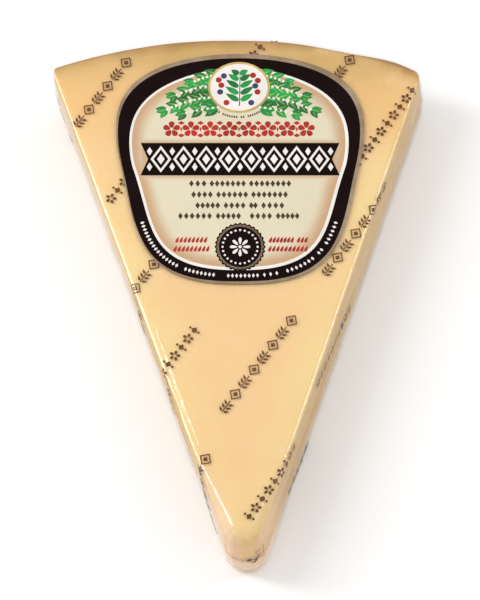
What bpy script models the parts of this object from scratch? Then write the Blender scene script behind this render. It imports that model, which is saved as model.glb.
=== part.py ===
"""A retail wedge of hard cheese, tight in clear film, lying flat with its label up.

Two solids: the sealed wedge and the label on its top face.
The rind is towards +Y, the tip towards -Y, and the wedge rests on z = 0.
The origin is under the middle of the wedge's box. Lengths are in metres.
"""

import math

import bmesh
import bpy

# Cut of the wedge, seen from above, with the point where the two cut sides would meet as its start
SIDES_MEET_TO_RIND = 0.1601
LEFT_SIDE_ANGLE = math.radians(19.26)
RIGHT_SIDE_ANGLE = math.radians(18.11)
RIND_RADIUS = 0.1413
RIND_CENTRE_X = -0.0033
TIP_RADIUS = 0.0062
LEFT_CORNER_RADIUS = 0.0020
RIGHT_CORNER_RADIUS = 0.0029

# Unevenness of the rind: a wave that starts at the right corner and fades to the left
RIND_WAVE_DEPTH = 0.0007
RIND_WAVE_LENGTH = 0.30
RIND_WAVE_FADE = 0.20

# Thickness, edges and walls
THICKNESS = 0.0243
TOP_EDGE_RADIUS = 0.0013
TIP_TOP_EDGE_RADIUS = 0.0045
TIP_EDGE_LENGTH = 0.0290
FOOT_EDGE_RADIUS = 0.0018
FOOT_SHIFT_RIGHT = 0.0014
WALL_BOW = 0.0003

# Label: an oval shield, wider at the top, on the top face
LABEL_FROM_SIDES_MEET = 0.1206
LABEL_CENTRE_X = -0.0008
LABEL_HALF_HEIGHT = 0.0340
LABEL_HALF_WIDTH = 0.0400
LABEL_WIDENING = 0.19
LABEL_WAIST = 0.20
LABEL_TOP_ROUNDNESS = 2.05
LABEL_FOOT_ROUNDNESS = 2.60
LABEL_THICKNESS = 0.00025
GAP = 0.0003

# Points along each stretch of the outlines and rings up the wall
TIP_STEPS = 14
SIDE_STEPS = 22
CORNER_STEPS = 8
RIND_STEPS = 44
EDGE_STEPS = 5
WALL_STEPS = 6
LABEL_STEPS = 96

CHEESE_COLOUR = (0.93, 0.66, 0.34)
LABEL_COLOUR = (0.79, 0.72, 0.55)


def clear_scene():
    for item in list(bpy.data.objects):
        bpy.data.objects.remove(item, do_unlink=True)


def plain_material(name, colour, roughness):
    material = bpy.data.materials.new(name)
    material.use_nodes = True
    shader = material.node_tree.nodes["Principled BSDF"]
    shader.inputs["Base Color"].default_value = (*colour, 1.0)
    shader.inputs["Roughness"].default_value = roughness
    shader.inputs["Metallic"].default_value = 0.0
    return material


def arc(centre, radius, start, end, steps, unevenness=None):
    """Points of an arc, anticlockwise, where unevenness adds to the radius along it."""
    points = []
    for step in range(steps):
        along = step / (steps - 1)
        angle = start + (end - start) * along
        reach = radius + (unevenness(along) if unevenness else 0.0)
        points.append((centre[0] + reach * math.cos(angle), centre[1] + reach * math.sin(angle)))
    return points


def between(first, last, steps):
    """Points between two ends, which are left out."""
    points = []
    for step in range(1, steps):
        along = step / steps
        points.append(tuple(a + (b - a) * along for a, b in zip(first, last)))
    return points


def rind_wave(along):
    return RIND_WAVE_DEPTH * math.sin(math.tau * along / RIND_WAVE_LENGTH) * math.exp(-along / RIND_WAVE_FADE)


def corner_centre(side, angle, radius):
    """Centre of a corner's arc, which touches a cut side and the rind; side is -1 for left, 1 for right."""
    along = (side * math.sin(angle), math.cos(angle))
    inward = (-side * math.cos(angle), math.sin(angle))
    start_x = radius * inward[0] - RIND_CENTRE_X
    start_y = radius * inward[1] - (SIDES_MEET_TO_RIND - RIND_RADIUS)
    half_b = along[0] * start_x + along[1] * start_y
    c = start_x ** 2 + start_y ** 2 - (RIND_RADIUS - radius) ** 2
    reach = -half_b + math.sqrt(half_b ** 2 - c)
    return (reach * along[0] + radius * inward[0], reach * along[1] + radius * inward[1])


def wedge_outline():
    """The wedge seen from above, anticlockwise from the left end of the tip's arc."""
    rind_centre = (RIND_CENTRE_X, SIDES_MEET_TO_RIND - RIND_RADIUS)
    half_angle = (LEFT_SIDE_ANGLE + RIGHT_SIDE_ANGLE) / 2
    middle = math.pi / 2 + (LEFT_SIDE_ANGLE - RIGHT_SIDE_ANGLE) / 2
    tip_reach = TIP_RADIUS / math.sin(half_angle)
    tip_centre = (tip_reach * math.cos(middle), tip_reach * math.sin(middle))
    right_corner = corner_centre(1, RIGHT_SIDE_ANGLE, RIGHT_CORNER_RADIUS)
    left_corner = corner_centre(-1, LEFT_SIDE_ANGLE, LEFT_CORNER_RADIUS)
    rind_start = math.atan2(right_corner[1] - rind_centre[1], right_corner[0] - rind_centre[0])
    rind_end = math.atan2(left_corner[1] - rind_centre[1], left_corner[0] - rind_centre[0])

    tip = arc(tip_centre, TIP_RADIUS, -math.pi + LEFT_SIDE_ANGLE, -RIGHT_SIDE_ANGLE, TIP_STEPS)
    right = arc(right_corner, RIGHT_CORNER_RADIUS, -RIGHT_SIDE_ANGLE, rind_start, CORNER_STEPS)
    rind = arc(rind_centre, RIND_RADIUS, rind_start, rind_end, RIND_STEPS, rind_wave)
    left = arc(left_corner, LEFT_CORNER_RADIUS, rind_end, math.pi + LEFT_SIDE_ANGLE, CORNER_STEPS)
    outline = tip + between(tip[-1], right[0], SIDE_STEPS) + right
    outline += rind[1:-1] + left + between(left[-1], tip[0], SIDE_STEPS)
    return outline


def outward_normals(outline):
    """Unit normals that point out of a closed outline that runs anticlockwise."""
    normals = []
    for place in range(len(outline)):
        before = outline[place - 1]
        after = outline[(place + 1) % len(outline)]
        run_x = after[0] - before[0]
        run_y = after[1] - before[1]
        length = math.hypot(run_x, run_y)
        normals.append((run_y / length, -run_x / length))
    return normals


def middle_of_wedge():
    """Middle of the wedge's box, seen from above, with its shifted foot counted in."""
    outline = wedge_outline()
    top_x = [x for x, y in outline]
    all_y = [y for x, y in outline]
    foot_shift = FOOT_SHIFT_RIGHT * (1 - TOP_EDGE_RADIUS / THICKNESS)
    return ((min(top_x) + max(top_x) + foot_shift) / 2, (min(all_y) + max(all_y)) / 2)


def smooth_step(value):
    value = min(max(value, 0.0), 1.0)
    return value * value * (3 - 2 * value)


def top_edge_radius(y, tip_y):
    near_tip = 1 - smooth_step((y - tip_y) / TIP_EDGE_LENGTH)
    return TOP_EDGE_RADIUS + (TIP_TOP_EDGE_RADIUS - TOP_EDGE_RADIUS) * near_tip


def wall_profile(edge_radius):
    """(inset, height) up the wall: the foot's rounding, the bowed wall and the top edge's rounding."""
    profile = []
    for step in range(EDGE_STEPS + 1):
        turn = math.pi / 2 * step / EDGE_STEPS
        inset = FOOT_EDGE_RADIUS * (1 - math.sin(turn))
        profile.append((inset, FOOT_EDGE_RADIUS * (1 - math.cos(turn))))
    wall_height = THICKNESS - FOOT_EDGE_RADIUS - edge_radius
    for step in range(1, WALL_STEPS):
        along = step / WALL_STEPS
        profile.append((-WALL_BOW * math.sin(math.pi * along), FOOT_EDGE_RADIUS + wall_height * along))
    for step in range(EDGE_STEPS + 1):
        turn = math.pi / 2 * step / EDGE_STEPS
        height = THICKNESS - edge_radius * (1 - math.sin(turn))
        profile.append((edge_radius * (1 - math.cos(turn)), height))
    return profile


def add_object(name, mesh_builder, material):
    mesh = bpy.data.meshes.new(name)
    mesh_builder.to_mesh(mesh)
    mesh_builder.free()
    mesh.materials.append(material)
    mesh.shade_smooth()
    mesh.set_sharp_from_angle(angle=math.radians(40))
    item = bpy.data.objects.new(name, mesh)
    bpy.context.scene.collection.objects.link(item)
    return item


def extrude_rings(rings):
    """A closed body: the first ring is filled, and extruded to each ring after it."""
    builder = bmesh.new()
    place_layer = builder.verts.layers.int.new("place")
    corners = [builder.verts.new(point) for point in rings[0]]
    for place, corner in enumerate(corners):
        corner[place_layer] = place
    first_cap = builder.faces.new(corners)
    cap = first_cap
    for ring in rings[1:]:
        grown = bmesh.ops.extrude_face_region(builder, geom=[cap])["geom"]
        if cap is not first_cap:
            bmesh.ops.delete(builder, geom=[cap], context="FACES_ONLY")
        cap = next(piece for piece in grown if isinstance(piece, bmesh.types.BMFace))
        for corner in cap.verts:
            corner.co = ring[corner[place_layer]]
    bmesh.ops.recalc_face_normals(builder, faces=builder.faces[:])
    return builder


def make_wedge(middle):
    outline = wedge_outline()
    normals = outward_normals(outline)
    tip_y = min(y for x, y in outline)
    profiles = [wall_profile(top_edge_radius(y, tip_y)) for x, y in outline]
    rings = []
    for level in range(len(profiles[0])):
        ring = []
        for (x, y), (normal_x, normal_y), profile in zip(outline, normals, profiles):
            inset, height = profile[level]
            lean = FOOT_SHIFT_RIGHT * (1 - height / THICKNESS)
            ring.append((x - normal_x * inset + lean - middle[0], y - normal_y * inset - middle[1], height))
        rings.append(ring)
    material = plain_material("sealed_cheese", CHEESE_COLOUR, 0.3)
    return add_object("sealed_wedge", extrude_rings(rings), material)


def label_outline():
    """The label seen from above about its own centre, anticlockwise."""
    outline = []
    for step in range(LABEL_STEPS):
        angle = math.tau * step / LABEL_STEPS
        roundness = LABEL_TOP_ROUNDNESS if math.sin(angle) > 0 else LABEL_FOOT_ROUNDNESS
        across = math.copysign(abs(math.cos(angle)) ** (2 / roundness), math.cos(angle))
        up = math.copysign(abs(math.sin(angle)) ** (2 / roundness), math.sin(angle))
        half_width = LABEL_HALF_WIDTH * (1 + LABEL_WIDENING * up + LABEL_WAIST * (up * up - 1))
        outline.append((half_width * across, LABEL_HALF_HEIGHT * up))
    return outline


def make_label(middle):
    centre_x = LABEL_CENTRE_X - middle[0]
    centre_y = LABEL_FROM_SIDES_MEET - middle[1]
    underside = THICKNESS + GAP
    rings = []
    for height in (underside, underside + LABEL_THICKNESS):
        rings.append([(x + centre_x, y + centre_y, height) for x, y in label_outline()])
    material = plain_material("printed_paper", LABEL_COLOUR, 0.4)
    return add_object("label", extrude_rings(rings), material)


def main():
    clear_scene()
    middle = middle_of_wedge()
    make_wedge(middle)
    make_label(middle)


main()
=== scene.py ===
import math

import bmesh
import bpy
from bpy.props import FloatProperty, FloatVectorProperty, IntProperty, PointerProperty
from mathutils import Euler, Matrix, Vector, noise
from mathutils.bvhtree import BVHTree


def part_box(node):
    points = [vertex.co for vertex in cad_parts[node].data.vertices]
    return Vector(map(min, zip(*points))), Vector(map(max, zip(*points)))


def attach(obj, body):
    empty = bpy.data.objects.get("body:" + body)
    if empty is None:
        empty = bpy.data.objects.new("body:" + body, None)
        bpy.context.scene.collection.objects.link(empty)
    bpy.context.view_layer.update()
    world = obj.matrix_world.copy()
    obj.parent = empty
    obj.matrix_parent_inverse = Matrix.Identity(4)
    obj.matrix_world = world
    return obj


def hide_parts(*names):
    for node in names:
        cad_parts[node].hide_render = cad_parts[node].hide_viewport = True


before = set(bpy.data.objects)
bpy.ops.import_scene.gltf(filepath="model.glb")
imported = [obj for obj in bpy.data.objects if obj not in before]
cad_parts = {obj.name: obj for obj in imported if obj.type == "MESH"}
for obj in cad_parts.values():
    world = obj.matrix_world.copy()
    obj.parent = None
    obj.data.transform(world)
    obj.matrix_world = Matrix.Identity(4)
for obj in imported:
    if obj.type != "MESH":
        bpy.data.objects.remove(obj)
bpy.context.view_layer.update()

bl_info = {
    "name": "Sealed Cheese Wedge",
    "version": (1, 0, 0),
    "blender": (4, 5, 0),
    "location": "View3D > Sidebar > Cheese Wedge",
    "description": "Dresses a wedge of hard cheese with its film, print and label",
    "category": "Object",
}

MM = 0.001
STUDIO_LIGHT = 1.17
BODY = "root"
WEDGE_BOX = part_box("sealed_wedge")
LABEL_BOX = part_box("label")
LABEL_MIDDLE = (LABEL_BOX[0] + LABEL_BOX[1]) / 2
TOP = WEDGE_BOX[1].z


# Settings


def length(name, description, default):
    return FloatProperty(
        name=name, description=description, default=default, unit="LENGTH", subtype="DISTANCE"
    )


def angle(name, description, degrees):
    return FloatProperty(name=name, description=description, default=math.radians(degrees), subtype="ANGLE")


def share(name, description, default):
    return FloatProperty(
        name=name, description=description, default=default, subtype="FACTOR", soft_min=0, soft_max=1
    )


def number(name, description, default):
    return FloatProperty(name=name, description=description, default=default)


def colour(name, description, red, green, blue):
    """A colour setting, given in the 0 to 255 steps of a picture."""
    return FloatVectorProperty(
        name=name,
        description=description,
        default=(red / 255, green / 255, blue / 255),
        subtype="COLOR_GAMMA",
        size=3,
        min=0,
        max=1,
    )


class WedgeSizes(bpy.types.PropertyGroup):
    """Cut of the wedge, seen from above and from the side"""

    sides_meet_to_rind: length("Sides meet to rind", "From where the cut sides meet to the rind", 0.1601)
    left_angle: angle("Left side", "Turn of the left cut from the middle line", 19.26)
    right_angle: angle("Right side", "Turn of the right cut from the middle line", 18.11)
    rind_radius: length("Rind radius", "Radius of the wheel's rind", 0.1413)
    rind_centre_x: length("Rind centre", "The rind's centre, to the right of the middle line", -0.0033)
    tip_radius: length("Tip radius", "Rounding of the tip, seen from above", 0.0062)
    left_corner: length("Left corner", "Rounding of the left rind corner", 0.0020)
    right_corner: length("Right corner", "Rounding of the right rind corner", 0.0029)
    rind_wave_depth: length("Rind wave", "Unevenness of the rind beside the right corner", 0.0007)
    rind_wave_length: share("Rind wave length", "Length of one wave, as a share of the rind", 0.30)
    rind_wave_fade: share("Rind wave fade", "How far the wave lasts, as a share of the rind", 0.20)
    top_edge: length("Top edge", "Rounding of the top edge", 0.0013)
    tip_top_edge: length("Top edge at the tip", "Rounding of the top edge at the tip", 0.0045)
    tip_edge_length: length("Tip edge length", "How far the rounder edge reaches from the tip", 0.0290)
    foot_edge: length("Foot edge", "Rounding of the lower edge", 0.0018)
    foot_shift: length("Foot shift", "How far the foot leans to the right", 0.0014)
    wall_bow: length("Wall bow", "How far the walls bulge", 0.0003)
    film_room: length("Room for film", "Depth of the cheese under the film", 0.00045)


class WedgeColours(bpy.types.PropertyGroup):
    """Colours of the cheese and of the ink on the film"""

    tip: colour("Tip", "Cheese at the tip", 240, 197, 128)
    paste: colour("Paste", "Cheese over most of the wedge", 254, 214, 150)
    paste_warm: colour("Warm paste", "Warmer patches in the cheese", 252, 207, 142)
    paste_light: colour("Light paste", "Paler patches in the cheese", 255, 221, 164)
    inner: colour("Inner cheese", "Cheese a finger's width in from the rind", 241, 193, 114)
    near_rind: colour("Near the rind", "Cheese a little way in from the rind", 212, 171, 90)
    rind: colour("Rind", "Cheese just under the rind", 178, 130, 30)
    rind_edge: colour("Rind edge", "The rind itself", 150, 108, 58)
    # Painted shade: the cut sides are darker than the top, where less light falls on them, and a little less
    # dark at the tip
    cut_side_painted_shade: colour("Cut sides", "Cut sides, seen through gathered film", 209, 166, 90)
    tip_side_painted_shade: colour("Tip side", "Cut sides at the tip", 236, 187, 106)
    # Painted sheen: a paler band along the top's long edges, beside the edge highlights
    painted_edge_sheen: colour("By the edge", "Paler cheese along the top's long edges", 255, 225, 153)
    corner: colour("Rind corners", "Golden cheese in the two corners at the rind", 255, 206, 128)
    print_ink: colour("Film ink", "Brown ink printed on the film", 100, 61, 16)


class LabelSizes(bpy.types.PropertyGroup):
    """Outline and fields of the label"""

    from_sides_meet: length("Label centre", "From where the cut sides meet to the label's middle", 0.1206)
    centre_x: length("Label offset", "The label's middle, to the right of the middle line", -0.0008)
    half_height: length("Half height", "Half the height of the whole label", 0.0340)
    half_width: length("Half width", "Half the width at the label's middle, before its waist", 0.0400)
    widening: number("Widening", "How much wider the label is towards its top", 0.19)
    waist: number("Waist", "How much narrower the label is at its middle", 0.20)
    top_roundness: number("Top roundness", "Power of the top's curve", 2.05)
    foot_roundness: number("Foot roundness", "Power of the foot's curve", 2.60)
    band_half_width: length("Band half width", "Half the width of the black band's outer edge", 0.0391)
    band_half_height: length("Band half height", "Half the height of the black band's outer edge", 0.0330)
    line_half_width: length("Line half width", "Half the width of the white line's outer edge", 0.0409)
    line_half_height: length("Line half height", "Half the height of the white line's outer edge", 0.03005)
    line_width: length("Line width", "Width of the white line", 0.0008)
    banner_half_width: length("Banner half width", "Half the width of the black banner", 0.0268)
    banner_half_height: length("Banner half height", "Half the height of the black banner", 0.0048)
    banner_up: length("Banner place", "Height of the banner above the label's middle", 0.0025)
    banner_notch: length("Banner notch", "Depth of the notch in the banner's ends", 0.0020)
    seal_radius: length("Seal radius", "Outer radius of the scalloped seal", 0.0068)
    seal_up: length("Seal place", "Height of the seal above the label's middle", -0.0233)
    seal_scallops: IntProperty(name="Scallops", description="Scallops round the seal", default=32)
    seal_stretch: number("Seal stretch", "Height of the seal as a share of its width", 1.04)
    emblem_half_width: length("Emblem half width", "Half the width of the oval emblem", 0.0084)
    emblem_half_height: length("Emblem half height", "Half the height of the oval emblem", 0.0076)
    emblem_up: length("Emblem place", "Height of the emblem above the label's middle", 0.0239)


class LabelColours(bpy.types.PropertyGroup):
    """Inks of the label"""

    border: colour("Border", "Dull gold border", 148, 124, 96)
    border_light: colour("Light border", "Lighter stretches of the border", 168, 146, 120)
    black: colour("Black", "Band, banner and seal", 22, 8, 8)
    white: colour("White", "Lines and figures", 243, 236, 229)
    field: colour("Field", "Cream field", 227, 216, 186)
    field_edge: colour("Field edge", "Tan edge of the field", 205, 166, 126)
    gold: colour("Gold", "Gold rings", 202, 170, 96)
    seal_ring: colour("Seal ring", "Dull ring round the seal", 106, 88, 66)
    seal_ring_light: colour("Light seal ring", "Lighter stretches of the seal's ring", 138, 118, 94)
    green: colour("Green", "Leaves", 20, 144, 62)
    green_dark: colour("Dark green", "Stem and shaded leaves", 12, 108, 46)
    red: colour("Red", "Red figures", 172, 32, 20)
    brown: colour("Brown", "Rows of small figures", 62, 50, 30)
    vein: colour("Vein", "Ribs of the leaves", 176, 196, 92)
    blue: colour("Blue", "Dark berries", 52, 58, 104)


class StageSettings(bpy.types.PropertyGroup):
    """Camera, floor and lights"""

    lens: FloatProperty(name="Lens", description="Focal length of the camera, in millimetres", default=300.0)
    elevation: angle("Elevation", "Height of the camera above the horizon", 67.0)
    distance: length("Distance", "From the camera to the wedge", 1.3424)
    aim_from_sides_meet: length("Aim", "From where the sides would meet to what the camera looks at", 0.0795)
    aim_height: length("Aim height", "Height of what the camera looks at", 0.0116)
    pan_right: length("Pan right", "How far the camera stands to the right", -0.00083)
    pan_up: length("Pan up", "How far the camera stands up in its own view", 0.00731)
    floor_colour: colour("Floor", "Plain pale floor", 251, 251, 251)
    world_light: number("Surrounding light", "Strength of the light from all round", 0.76)
    key_power: number("Key light", "Power of the large soft light on the left, in watts", 3.0)
    fill_power: number("Fill light", "Power of the soft light on the right, in watts", 1.0)


def settings(context):
    return context.scene.cheese_wedge


class CheeseWedgeSettings(bpy.types.PropertyGroup):
    """All the sizes and colours of the sealed wedge"""

    wedge: PointerProperty(type=WedgeSizes)
    wedge_colours: PointerProperty(type=WedgeColours)
    label: PointerProperty(type=LabelSizes)
    label_colours: PointerProperty(type=LabelColours)
    stage: PointerProperty(type=StageSettings)


# Shader nodes


def linear(picture_colour):
    """A picture's colour as the light values that a shader takes."""
    return tuple(c / 12.92 if c <= 0.04045 else ((c + 0.055) / 1.055) ** 2.4 for c in picture_colour)


def pigment(picture_colour):
    """The colour of a surface that looks like the picture's colour under the studio's light."""
    return tuple(part / STUDIO_LIGHT for part in linear(picture_colour))


def add_node(tree, kind, inputs=None, **values):
    """A node with its own settings, whose inputs are given as values or as sockets to link."""
    node = tree.nodes.new(kind)
    for name, value in values.items():
        setattr(node, name, value)
    for name, value in (inputs or {}).items():
        socket = node.inputs[name]
        if isinstance(value, bpy.types.NodeSocket):
            tree.links.new(value, socket)
        else:
            socket.default_value = value
    return node


def output_of(tree, output, kind, inputs=None, **values):
    """The named output of a new node."""
    return add_node(tree, kind, inputs, **values).outputs[output]


def new_material(name):
    material = bpy.data.materials.new(name)
    material.use_nodes = True
    material.node_tree.nodes.clear()
    return material, material.node_tree


def finish_material(tree, shader):
    add_node(tree, "ShaderNodeOutputMaterial", {"Surface": shader})


def vector_math(tree, operation, *values):
    output = "Value" if operation in {"LENGTH", "DOT_PRODUCT"} else "Vector"
    inputs = dict(enumerate(values))
    return output_of(tree, output, "ShaderNodeVectorMath", inputs, operation=operation)


def math_node(tree, operation, *values):
    return output_of(tree, "Value", "ShaderNodeMath", dict(enumerate(values)), operation=operation)


def product(tree, first, *others):
    for other in others:
        first = math_node(tree, "MULTIPLY", first, other)
    return first


def object_place(tree, centre=(0, 0, 0), scale=(1, 1, 1)):
    """Object coordinates about a centre, with the scale given per millimetre."""
    place = output_of(tree, "Object", "ShaderNodeTexCoord")
    about_centre = vector_math(tree, "SUBTRACT", place, centre)
    inputs = {"Vector": about_centre, "Scale": tuple(part / MM for part in scale)}
    return output_of(tree, "Vector", "ShaderNodeMapping", inputs)


def map_range(tree, value, low, high, new_low=0.0, new_high=1.0, smooth=True):
    inputs = {"Value": value, "From Min": low, "From Max": high, "To Min": new_low, "To Max": new_high}
    kind = "SMOOTHSTEP" if smooth else "LINEAR"
    return output_of(tree, "Result", "ShaderNodeMapRange", inputs, interpolation_type=kind)


def noise_value(tree, place, scale, detail, roughness):
    inputs = {"Vector": place, "Scale": scale, "Detail": detail, "Roughness": roughness}
    return output_of(tree, "Fac", "ShaderNodeTexNoise", inputs)


def patches(tree, place, grain, low, high, new_low=0.0, new_high=1.0):
    """A value that changes smoothly with noise, whose grain is (scale, detail, roughness)."""
    return map_range(tree, noise_value(tree, place, *grain), low, high, new_low, new_high)


def mix_colours(tree, factor, first, second):
    """Two colours mixed, each a socket or light values."""
    inputs = {0: factor}
    for place, value in ((6, first), (7, second)):
        inputs[place] = value if isinstance(value, bpy.types.NodeSocket) else (*value, 1.0)
    return add_node(tree, "ShaderNodeMix", inputs, data_type="RGBA").outputs[2]


def tinted(tree, base, factor, picture_colour):
    return mix_colours(tree, factor, base, pigment(picture_colour))


def colour_ramp(tree, value, stops):
    """Colours along a value; stops are (place, picture colour)."""
    ramp = add_node(tree, "ShaderNodeValToRGB", {"Fac": value})
    elements = ramp.color_ramp.elements
    while len(elements) < len(stops):
        elements.new(1.0)
    for element, (place, picture_colour) in zip(elements, stops):
        element.position = place
        element.color = (*pigment(picture_colour), 1.0)
    return ramp.outputs["Color"]


def bump(tree, height, strength, distance, normal=None):
    inputs = {"Height": height, "Strength": strength, "Distance": distance}
    if normal is not None:
        inputs["Normal"] = normal
    return output_of(tree, "Normal", "ShaderNodeBump", inputs)


def noise_bumps(tree, place, *bumps):
    """A normal with bumps one on the other, each (grain, strength, height in metres)."""
    normal = None
    for grain, strength, distance in bumps:
        normal = bump(tree, noise_value(tree, place, *grain), strength, distance, normal)
    return normal


# Meshes


def plan_arc(centre, radius, start, end, steps, unevenness=None):
    points = []
    for step in range(steps):
        along = step / (steps - 1)
        turn = start + (end - start) * along
        reach = radius + (unevenness(along) if unevenness else 0.0)
        points.append(Vector((centre[0] + reach * math.cos(turn), centre[1] + reach * math.sin(turn))))
    return points


def between(first, last, steps):
    return [first.lerp(last, step / steps) for step in range(1, steps)]


def sides_meet(label):
    """Where the two cut sides would meet, on the floor."""
    return Vector((LABEL_MIDDLE.x - label.centre_x, LABEL_MIDDLE.y - label.from_sides_meet))


def corner_centre(sizes, side, turn, radius):
    """Centre of a rind corner's arc, which touches a cut side and the rind.

    The side is -1 for the left one and 1 for the right one.
    """
    along = Vector((side * math.sin(turn), math.cos(turn)))
    inward = Vector((-side * math.cos(turn), math.sin(turn)))
    start = radius * inward - Vector((sizes.rind_centre_x, sizes.sides_meet_to_rind - sizes.rind_radius))
    half_b = along.dot(start)
    c = start.length_squared - (sizes.rind_radius - radius) ** 2
    return (-half_b + math.sqrt(half_b ** 2 - c)) * along + radius * inward


TIP_STEPS = 40
SIDE_STEPS = 110
CORNER_STEPS = 16
RIND_STEPS = 110


def wedge_outline(sizes, origin):
    """The wedge seen from above, anticlockwise from the left end of the tip's arc."""
    left_turn, right_turn = sizes.left_angle, sizes.right_angle
    rind_centre = Vector((sizes.rind_centre_x, sizes.sides_meet_to_rind - sizes.rind_radius))
    middle = math.pi / 2 + (left_turn - right_turn) / 2
    tip_reach = sizes.tip_radius / math.sin((left_turn + right_turn) / 2)
    tip_centre = Vector((tip_reach * math.cos(middle), tip_reach * math.sin(middle)))
    right_corner = corner_centre(sizes, 1, right_turn, sizes.right_corner)
    left_corner = corner_centre(sizes, -1, left_turn, sizes.left_corner)
    rind_start = math.atan2(*reversed(right_corner - rind_centre))
    rind_end = math.atan2(*reversed(left_corner - rind_centre))

    def wave(along):
        fade = math.exp(-along / sizes.rind_wave_fade)
        return sizes.rind_wave_depth * math.sin(math.tau * along / sizes.rind_wave_length) * fade

    tip = plan_arc(tip_centre, sizes.tip_radius, -math.pi + left_turn, -right_turn, TIP_STEPS)
    right = plan_arc(right_corner, sizes.right_corner, -right_turn, rind_start, CORNER_STEPS)
    rind = plan_arc(rind_centre, sizes.rind_radius, rind_start, rind_end, RIND_STEPS, wave)
    left = plan_arc(left_corner, sizes.left_corner, rind_end, math.pi + left_turn, CORNER_STEPS)
    outline = tip + between(tip[-1], right[0], SIDE_STEPS) + right
    outline += rind[1:-1] + left + between(left[-1], tip[0], SIDE_STEPS)
    return [point + origin for point in outline]


def outward_normals(outline):
    normals = []
    for place in range(len(outline)):
        run = outline[(place + 1) % len(outline)] - outline[place - 1]
        normals.append(Vector((run.y, -run.x)).normalized())
    return normals


def smooth_step(value):
    value = min(max(value, 0.0), 1.0)
    return value * value * (3 - 2 * value)


def hump(value, middle, reach):
    """1 at the middle, smoothly down to 0 at the reach on both sides."""
    return 1 - smooth_step(abs(value - middle) / reach)


def top_edge_radius(sizes, y, tip_y):
    near_tip = 1 - smooth_step((y - tip_y) / sizes.tip_edge_length)
    return sizes.top_edge + (sizes.tip_top_edge - sizes.top_edge) * near_tip


EDGE_STEPS = 8
WALL_STEPS = 26
CAP_RINGS = 7


def wall_profile(sizes, edge_radius):
    """(inset, height) up the wall: the foot's rounding, the bowed wall and the top edge's rounding."""
    profile = []
    for step in range(EDGE_STEPS + 1):
        turn = math.pi / 2 * step / EDGE_STEPS
        profile.append((sizes.foot_edge * (1 - math.sin(turn)), sizes.foot_edge * (1 - math.cos(turn))))
    wall_height = TOP - sizes.foot_edge - edge_radius
    for step in range(1, WALL_STEPS):
        along = step / WALL_STEPS
        profile.append((-sizes.wall_bow * math.sin(math.pi * along), sizes.foot_edge + wall_height * along))
    for step in range(EDGE_STEPS + 1):
        turn = math.pi / 2 * step / EDGE_STEPS
        profile.append((edge_radius * (1 - math.cos(turn)), TOP - edge_radius * (1 - math.sin(turn))))
    return profile


def rings_mesh(name, rings):
    """A closed mesh through rings of as many points each, with a fan at both ends."""
    count = len(rings[0])
    points = [point for ring in rings for point in ring]
    faces = []
    for level in range(len(rings) - 1):
        for place in range(count):
            after = (place + 1) % count
            low, high = level * count, (level + 1) * count
            faces.append((low + place, low + after, high + after, high + place))
    for level, turned in ((0, True), (len(rings) - 1, False)):
        ring = range(level * count, (level + 1) * count)
        middle = sum((points[place] for place in ring), Vector((0, 0, 0))) / count
        points.append(middle)
        for place in range(count):
            a, b = level * count + place, level * count + (place + 1) % count
            faces.append((b, a, len(points) - 1) if turned else (a, b, len(points) - 1))
    mesh = bpy.data.meshes.new(name)
    mesh.from_pydata(points, [], faces)
    mesh.validate()
    mesh.shade_smooth()
    return mesh


def skin_point(sizes, point, normal, inset, height):
    """The point that far in from the outline, at a height, moved by the foot's lean."""
    lean = sizes.foot_shift * (1 - height / TOP)
    return Vector((point.x - normal.x * inset + lean, point.y - normal.y * inset, height))


def wedge_skin(sizes, origin):
    """Outline, its normals, the tip's y, and the profile up the wall at each point."""
    outline = wedge_outline(sizes, origin)
    tip_y = min(point.y for point in outline)
    profiles = [wall_profile(sizes, top_edge_radius(sizes, point.y, tip_y)) for point in outline]
    return outline, outward_normals(outline), tip_y, profiles


def cap_rings(ring):
    """Rings from a ring towards the label's middle, level with it."""
    centre = Vector((LABEL_MIDDLE.x, LABEL_MIDDLE.y, ring[0].z))
    return [[point.lerp(centre, step / CAP_RINGS) for point in ring] for step in range(1, CAP_RINGS)]


def wedge_rings(sizes, origin, inset_all):
    """Rings of the skin with its relief, from the middle of the foot to the middle of the top."""
    outline, normals, tip_y, profiles = wedge_skin(sizes, origin)
    relief = film_relief(sizes, origin)
    rings = []
    for level in range(len(profiles[0])):
        ring = []
        for point, normal, profile in zip(outline, normals, profiles):
            inset, height = profile[level]
            inset = inset + inset_all + relief(point, normal, height, tip_y)
            height = inset_all + height * (TOP - 2 * inset_all) / TOP
            ring.append(skin_point(sizes, point, normal, inset, height))
        rings.append(ring)
    return cap_rings(rings[0])[::-1] + rings + cap_rings(rings[-1])


def add_plate(builder, outline, low, high, hole=None):
    """A closed plate whose outline runs anticlockwise, with a hole of as many points if one is given."""

    def level(points, height):
        return [builder.verts.new((point[0], point[1], height)) for point in points]

    foot, head = level(outline, low), level(outline, high)
    count = len(outline)
    for a in range(count):
        b = (a + 1) % count
        builder.faces.new((foot[a], foot[b], head[b], head[a]))
    if hole is None:
        builder.faces.new(head)
        builder.faces.new(foot[::-1])
        return
    inner_foot, inner_head = level(hole, low), level(hole, high)
    for a in range(count):
        b = (a + 1) % count
        builder.faces.new((inner_foot[b], inner_foot[a], inner_head[a], inner_head[b]))
        builder.faces.new((head[a], head[b], inner_head[b], inner_head[a]))
        builder.faces.new((foot[b], foot[a], inner_foot[a], inner_foot[b]))


PLATE_STEPS = 6
PLATE_STEP = 0.0015 * MM


def plates_mesh(name, plates):
    """One mesh of closed plates (outline, low, high, perhaps hole).

    No two of them are level where they overlap.
    """
    builder = bmesh.new()
    for place, (outline, low, high, *hole) in enumerate(plates):
        step = place % PLATE_STEPS * PLATE_STEP
        add_plate(builder, outline, low + step, high + step, *hole)
    mesh = bpy.data.meshes.new(name)
    builder.to_mesh(mesh)
    builder.free()
    return mesh


FLOWER_PETALS = 5
LEAF_SWELL = 0.8
TOOTH_STEPS = 6


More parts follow.
